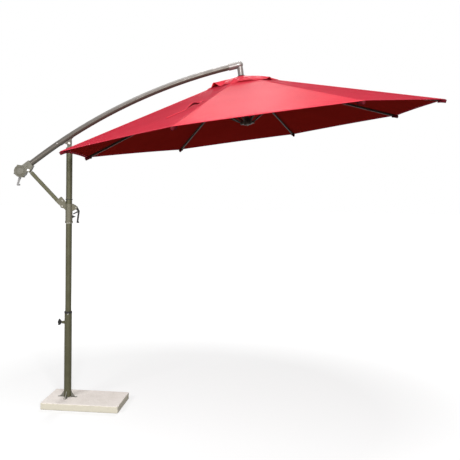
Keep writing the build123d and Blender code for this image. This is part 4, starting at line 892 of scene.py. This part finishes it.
stitched = stitched_red("stitched_red", RED, RED_DEEP)
stitched_painted_sheen = stitched_red("stitched_red_painted_sheen", SHEEN_CORAL, SHEEN_CORAL_DEEP)
hem_row = np.linspace(0, 1, HEM_ROWS)[:, None]
hem_down = outer_down - HEM_SAG * (1 - gore_side**2) - HEM_WIDTH * (1 - hem_row)
hem_half = corner_half(CANOPY_R) - HEM_WIDTH * (1 - hem_row) * tan(half_gore) * cos(gore_slope)
hem_across = gore_side * hem_half
hem_share = 1 - HEM_WIDTH * (1 - hem_row) / (outer_down - inner_down)
hem_uv = np.stack(np.broadcast_arrays(gore_side * corner_half(CANOPY_R), hem_row), axis=-1)
for number in range(1, RIBS + 1):
    hem_lift = gore_lift(hem_share, gore_side, number) + HEM_RAISE + HEM_ROUND * np.sin(pi * hem_row)
    hem = grid_piece(f"gore_hem_{number}", gore_place(number, hem_down, hem_across, hem_lift), uv=hem_uv)
    # The front gore's hem takes the coral stitched cloth of the painted sheen.
    hem.data.materials.append(stitched_painted_sheen if number == FRONT_GORE else stitched)
    thicken(hem, HEM_THICKNESS)
    hang_cloth(hem, number)
    hang_cloth(gores[number], number)
    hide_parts(f"canopy_panel_{number}")

# Seams
# Neighbouring gores are joined over each rib by a felled seam: a narrow raised strip with a row of stitches
# on both sides of the ridge.
SEAM_HALF = 0.007
SEAM_RAISE = 0.0008
SEAM_CLEAR = 0.0004
SEAM_START = 0.004
SEAM_STOP = 0.001
SEAM_ROWS = 120
SEAM_COLUMNS = (-1, -0.8, -0.4, -0.12, 0.12, 0.4, 0.8, 1.0)

seam_side = np.array(SEAM_COLUMNS)[None]
seam_radius = np.linspace(INNER_R + SEAM_START, CANOPY_R - SEAM_STOP, SEAM_ROWS)[:, None]
seam_raise = SEAM_RAISE * (1 - seam_side**6) + SEAM_CLEAR
seam_uv = np.stack(np.broadcast_arrays(seam_radius, (seam_side + 1) / 2), axis=-1)
rib_run = np.hypot(1, CANOPY_RISE / CANOPY_R)
for number in range(1, RIBS + 1):
    sideways, ridge = rib_axes(number)
    past = np.cross(gore_axes(number)[2], ridge)
    before = past - 2 * np.dot(past, sideways) * sideways
    over = np.cross(ridge, sideways)
    line = apex + (seam_radius * rib_run)[..., None] * ridge
    reach = SEAM_HALF * np.abs(seam_side)[..., None] * np.where(seam_side[..., None] > 0, past, before)
    points = line + reach + seam_raise[..., None] * over
    seam = grid_piece(f"rib_seam_{number}", points, uv=seam_uv)
    seam.data.materials.append(stitched)
    thicken(seam, CLOTH)
    hang_cloth(seam, number, squash=False)

# Rib pockets
# A pocket of dark red cloth is sewn under each corner, and the end of the rib sits in it. Its dark colour is
# painted shade.
POCKET_LENGTH = 0.060
POCKET_HALF = 0.0105
POCKET_DEPTH = 0.0225
POCKET_START = 0.0032
POCKET_REACH = 0.008
POCKET_CLOSE = 0.94
POCKET_CLOSING = 0.06
POCKET_END = 0.02
POCKET_FLARE = 0.25
POCKET_ROWS = 20
POCKET_AROUND = 25
# Dark red of painted shade, on the pockets and on the tie strap's underside.
PAINTED_SHADE_RED = (0.150, 0.014, 0.022, 1)
PAINTED_SHADE_RED_DEEP = (0.120, 0.011, 0.017, 1)
PAINTED_SHADE_RED_DARK = (0.080, 0.008, 0.012, 1)

cloth_painted_shade = woven_red("woven_red_painted_shade", 0.0, PAINTED_SHADE_RED, PAINTED_SHADE_RED_DEEP, PAINTED_SHADE_RED_DARK)
pocket_turn = np.linspace(0, pi, POCKET_AROUND)[None]
pocket_share = np.linspace(0, 1, POCKET_ROWS)[:, None]
pocket_closed = np.clip((pocket_share - POCKET_CLOSE) / POCKET_CLOSING, 0, 1)
pocket_taper = np.sqrt(np.clip(1 - pocket_closed**2, POCKET_END, 1))
pocket_flare = 1 + POCKET_FLARE * (1 - pocket_share) ** 3
pocket_along = -POCKET_LENGTH * (1 - pocket_share)
pocket_width = POCKET_HALF * np.cos(pocket_turn) * pocket_taper * pocket_flare
pocket_depth = POCKET_START + POCKET_DEPTH * np.sin(pocket_turn) ** 0.7 * pocket_taper * pocket_flare
pocket_uv = np.stack(np.broadcast_arrays(pocket_width, pocket_along), axis=-1)
for number in range(1, RIBS + 1):
    sideways, ridge = rib_axes(number)
    under = np.cross(sideways, ridge)
    tip = apex + ridge * (CANOPY_R * rib_run + POCKET_REACH)
    spread_out = pocket_width[..., None] * sideways + pocket_depth[..., None] * under
    points = tip + pocket_along[..., None] * ridge + spread_out
    pocket = grid_piece(f"rib_pocket_{number}", points, uv=pocket_uv)
    pocket.data.materials.append(cloth_painted_shade)
    thicken(pocket, CLOTH, 0.0)
    hang_cloth(pocket, number, squash=False)

# Vent cap
# A small second roof sits over the open middle of the canopy and lets the wind out under its edge. It is sewn
# down over the ribs, and between them its edge stands open, in some gores as a wide mouth.
VENT_R = 0.298
VENT_INNER_R = 0.030
VENT_RISE = 0.007
VENT_SETTLE = 0.55
VENT_DOME = 0.011
VENT_MOUTHS = (
    ((0.012, 0.10, 0.40),),
    ((0.014, -0.20, 0.45),),
    ((0.010, 0.10, 0.40),),
    ((0.014, 0.20, 0.40),),
    ((0.046, -0.42, 0.28), (0.006, 0.60, 0.18)),
    ((0.011, -0.45, 0.15), (0.013, -0.05, 0.17), (0.012, 0.40, 0.22)),
    ((0.008, -0.62, 0.14), (0.020, -0.05, 0.28)),
    ((0.005, -0.20, 0.40),),
)
VENT_WAVE = 0.0022
VENT_WAVES = 3.5
VENT_WAVE_SHIFT = 1.9
VENT_HEM = 0.014
VENT_HEM_THICKNESS = 0.002
VENT_HEM_RAISE = 0.0005
VENT_HEM_ROWS = 5
VENT_ROWS = 41
VENT_COLUMNS = 65

vent_share = np.linspace(0, 1, VENT_ROWS)[:, None]
vent_side = np.linspace(-1, 1, VENT_COLUMNS)[None]


def vent_lift(share, side, number):
    """Height of the cap over the canopy's plane: a low dome whose edge rises in mouths between the ribs.

    The dome is half a sine wave from the hub to the edge. Each mouth is a hump across the gore, with its
    height, its place and its width, that fades out toward the hub. The edge has a small wave as well.
    """
    mouths = sum(height * bell(side, place, width) for height, place, width in VENT_MOUTHS[number - 1])
    wave = VENT_WAVE * np.sin(VENT_WAVES * pi * side + VENT_WAVE_SHIFT * number)
    dome = VENT_DOME * np.sin(pi * share**1.3)
    flat = VENT_RISE * cos(gore_slope) * (1 - VENT_SETTLE * share**2)
    return flat + dome + (mouths * share**3 + wave * share**4) * (1 - side**2)


vent_radius = VENT_INNER_R + (VENT_R - VENT_INNER_R) * vent_share
vent_down = corner_down(vent_radius) - VENT_RISE * sin(gore_slope) + 0 * vent_side
vent_across = vent_side * corner_half(vent_radius)
vent_uv = np.stack(np.broadcast_arrays(vent_across, vent_down), axis=-1)
band_row = np.linspace(0, 1, VENT_HEM_ROWS)[:, None]
band_share = 1 - VENT_HEM / (VENT_R - VENT_INNER_R) * (1 - band_row)
band_radius = VENT_INNER_R + (VENT_R - VENT_INNER_R) * band_share
band_down = corner_down(band_radius) - VENT_RISE * sin(gore_slope) + 0 * vent_side
band_across = vent_side * corner_half(band_radius)
band_uv = np.stack(np.broadcast_arrays(band_across, band_row), axis=-1)
for number in range(1, RIBS + 1):
    flap = grid_piece(
        f"vent_flap_{number}",
        gore_place(number, vent_down, vent_across, vent_lift(vent_share, vent_side, number)),
        uv=vent_uv,
    )
    # Each flap and its hem take the coral cloth of the painted sheen.
    flap.data.materials.append(cloth_painted_sheen)
    flap.data.materials.append(cloth_inside)
    thicken(flap, CLOTH)
    band = grid_piece(
        f"vent_hem_{number}",
        gore_place(number, band_down, band_across, vent_lift(band_share, vent_side, number) + VENT_HEM_RAISE),
        uv=band_uv,
    )
    band.data.materials.append(stitched_painted_sheen)
    thicken(band, VENT_HEM_THICKNESS)
    hang_cloth(band, number)
    hang_cloth(flap, number)

# Tie strap
# A strip of cloth sewn to the ridge beside the front gore, that is wrapped around the folded canopy. Its top
# is the coral cloth of the painted sheen, and its underside is dark red, painted shade. It lies loose on the
# gore. Its lower end is flat, and near the ridge one edge rolls up.
STRAP_WIDTH = 0.024
STRAP_LENGTH = 0.285
STRAP_DOWN = 0.990
STRAP_ACROSS = 0.265
STRAP_TURN = radians(-22)
STRAP_GORE = 5
STRAP_RAISE = 0.0045
STRAP_THICKNESS = 0.0022
STRAP_HUMPS = ((0.011, -0.20, 0.13), (0.009, -0.45, 0.06))
STRAP_ROLL = (radians(38), -0.20, 0.17)
STRAP_BOW = (0.034, -0.24, 0.24)
STRAP_ROWS = 90
STRAP_COLUMNS = 9

strap_run = np.linspace(-0.5, 0.5, STRAP_ROWS)[:, None]
strap_side = np.linspace(-0.5, 0.5, STRAP_COLUMNS)[None]
strap_hump = sum(height * bell(strap_run, place, width) for height, place, width in STRAP_HUMPS)
strap_roll = STRAP_ROLL[0] * bell(strap_run, *STRAP_ROLL[1:])
strap_bow = STRAP_BOW[0] * bell(strap_run, *STRAP_BOW[1:])
strap_x = STRAP_LENGTH * strap_run + 0 * strap_side
strap_y = STRAP_WIDTH * ((strap_side + 0.5) * np.cos(strap_roll) - 0.5) + strap_bow
strap_edge = STRAP_WIDTH * (strap_side + 0.5) * np.sin(strap_roll)
strap_down = STRAP_DOWN + strap_x * cos(STRAP_TURN) - strap_y * sin(STRAP_TURN)
strap_across = STRAP_ACROSS + strap_x * sin(STRAP_TURN) + strap_y * cos(STRAP_TURN)
strap_share = (strap_down - inner_down) / (outer_down - inner_down)
strap_reach = strap_across / corner_half(CANOPY_R * strap_down / outer_down)
strap_lift = gore_lift(strap_share, strap_reach, STRAP_GORE) + STRAP_RAISE + strap_hump + strap_edge
strap_uv = np.stack(np.broadcast_arrays(strap_x, strap_side + 0.5), axis=-1)
strap_points = gore_place(STRAP_GORE, strap_down, strap_across, strap_lift)
strap = grid_piece("canopy_tie", strap_points, uv=strap_uv)
# Coral top, a painted sheen; dark red underside, painted shade.
strap.data.materials.append(stitched_painted_sheen)
strap.data.materials.append(cloth_painted_shade)
thicken(strap, STRAP_THICKNESS)
hang_cloth(strap, STRAP_GORE)
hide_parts("tie_strap")

# Floor and light
# A plain white floor that fades into the white background, under soft lamps: one above, one in front, one
# behind that gives the cloth its pale gloss, and a low one for the slab.
FLOOR_HALF = 40.0
FLOOR_CENTRE = (0.9, 0.0, 0.0)
FLOOR_SHADE = (0.46, 0.46, 0.46, 1)
FLOOR_BOUNCE = (0.13, 0.13, 0.13, 1)
FLOOR_GLOW = 0.56
FLOOR_FADE = (1.6, 4.5)
FLOOR_DROP = 0.0005
WHITE = (1, 1, 1, 1)
WORLD_LIGHT = 0.16
LAMPS = (
    ("light_above", (1.1, 0.6, 7.0), (1.1, 0, 1.5), 2.6, 50),
    ("light_front", (1.7, -7.3, 3.5), (0.8, 0, 1.3), 2.6, 600),
    ("light_behind", (1.4, 7.0, 6.2), (1.3, -0.5, 2.4), 2.2, 260),
    ("light_low", (-1.2, -2.1, 1.8), (0.15, 0, 0.05), 0.8, 32),
)


def seen_directly(finish_node, link):
    """1 for rays from the camera or off glossy and clear surfaces, and 0 for light that is scattered."""
    path = finish_node("ShaderNodeLightPath")
    total = path.outputs["Is Camera Ray"]
    for kind in ("Is Glossy Ray", "Is Transmission Ray"):
        either = finish_node("ShaderNodeMath")
        either.operation = "MAXIMUM"
        link(total, either.inputs[0])
        link(path.outputs[kind], either.inputs[1])
        total = either.outputs[0]
    return total


def floor_white():
    """White to the eye and in reflections, shaded near the object, and it throws little light back."""
    finish = Finish("floor_white", FLOOR_BOUNCE, 1.0)
    seen = seen_directly(finish.tree.nodes.new, finish.tree.links.new)
    inputs = {0: finish.place, 1: FLOOR_CENTRE}
    far = finish.node("ShaderNodeVectorMath", props={"operation": "DISTANCE"}, inputs=inputs).outputs["Value"]
    glow = finish.spread(far, *FLOOR_FADE, FLOOR_GLOW, 1.0)
    finish.feed("Base Color", finish.blend(seen, FLOOR_BOUNCE, FLOOR_SHADE))
    finish.feed("Emission Strength", finish.calculate("MULTIPLY", glow, seen))
    finish.shader.inputs["Emission Color"].default_value = WHITE
    finish.shine(0.0)
    return finish.material


floor_corner = np.array([-FLOOR_HALF, FLOOR_HALF])
floor_points = np.stack(
    [
        np.broadcast_to(floor_corner[:, None], (2, 2)),
        np.broadcast_to(floor_corner[None], (2, 2)),
        np.full((2, 2), -FLOOR_DROP),
    ],
    axis=-1,
)
floor = grid_piece("floor", floor_points)
floor.data.materials.append(floor_white())

world = bpy.data.worlds.new("studio")
bpy.context.scene.world = world
world.use_nodes = True
sky = world.node_tree
sky_light = sky.nodes["Background"]
sky_light.inputs["Color"].default_value = WHITE
sky_level = sky.nodes.new("ShaderNodeMapRange")
sky_level.inputs["To Min"].default_value = WORLD_LIGHT
sky_level.inputs["To Max"].default_value = 1.0
sky.links.new(seen_directly(sky.nodes.new, sky.links.new), sky_level.inputs["Value"])
sky.links.new(sky_level.outputs["Result"], sky_light.inputs["Strength"])


def soft_light(name, place, target, size, power):
    """A square soft light of a size in metres and a power in watts at a place, turned to a target."""
    lamp = bpy.data.lights.new(name, "AREA")
    lamp.size = size
    lamp.energy = power
    away = np.array(place, float) - np.array(target, float)
    away /= np.linalg.norm(away)
    side = np.cross([0.0, 1.0, 0.0] if abs(away[2]) > STEEP else [0.0, 0.0, 1.0], away)
    side /= np.linalg.norm(side)
    turned = np.eye(4)
    turned[:3, 0] = side
    turned[:3, 1] = np.cross(away, side)
    turned[:3, 2] = away
    turned[:3, 3] = place
    holder = bpy.data.objects.new(name, lamp)
    holder.matrix_world = Matrix(turned.tolist())
    holder.visible_camera = False
    bpy.context.scene.collection.objects.link(holder)


for lamp_values in LAMPS:
    soft_light(*lamp_values)

# Camera
# The view of the photograph: about five and a half metres from the mast, at eye level, turned a little right.
FOCUS_PIXELS = 675.6
IMAGE_PIXELS = 460
SENSOR = 36.0
EYE = np.array([0.9621, -5.3873, 1.786])
PITCH = radians(-3.89)
ROLL = radians(1.36)
YAW = radians(3.32)

look = np.array([sin(YAW) * cos(PITCH), cos(YAW) * cos(PITCH), sin(PITCH)])
level_right = np.array([cos(YAW), -sin(YAW), 0])
level_up = np.cross(level_right, look)
camera_data = bpy.data.cameras.new("view")
camera_data.sensor_width = SENSOR
camera_data.lens = FOCUS_PIXELS * SENSOR / IMAGE_PIXELS
camera = bpy.data.objects.new("view", camera_data)
camera_turn = np.eye(4)
camera_turn[:3, 0] = cos(ROLL) * level_right + sin(ROLL) * level_up
camera_turn[:3, 1] = -sin(ROLL) * level_right + cos(ROLL) * level_up
camera_turn[:3, 2] = -look
camera_turn[:3, 3] = EYE
camera.matrix_world = Matrix(camera_turn.tolist())
bpy.context.scene.collection.objects.link(camera)
bpy.context.scene.camera = camera
bpy.context.scene.view_settings.view_transform = "Standard"
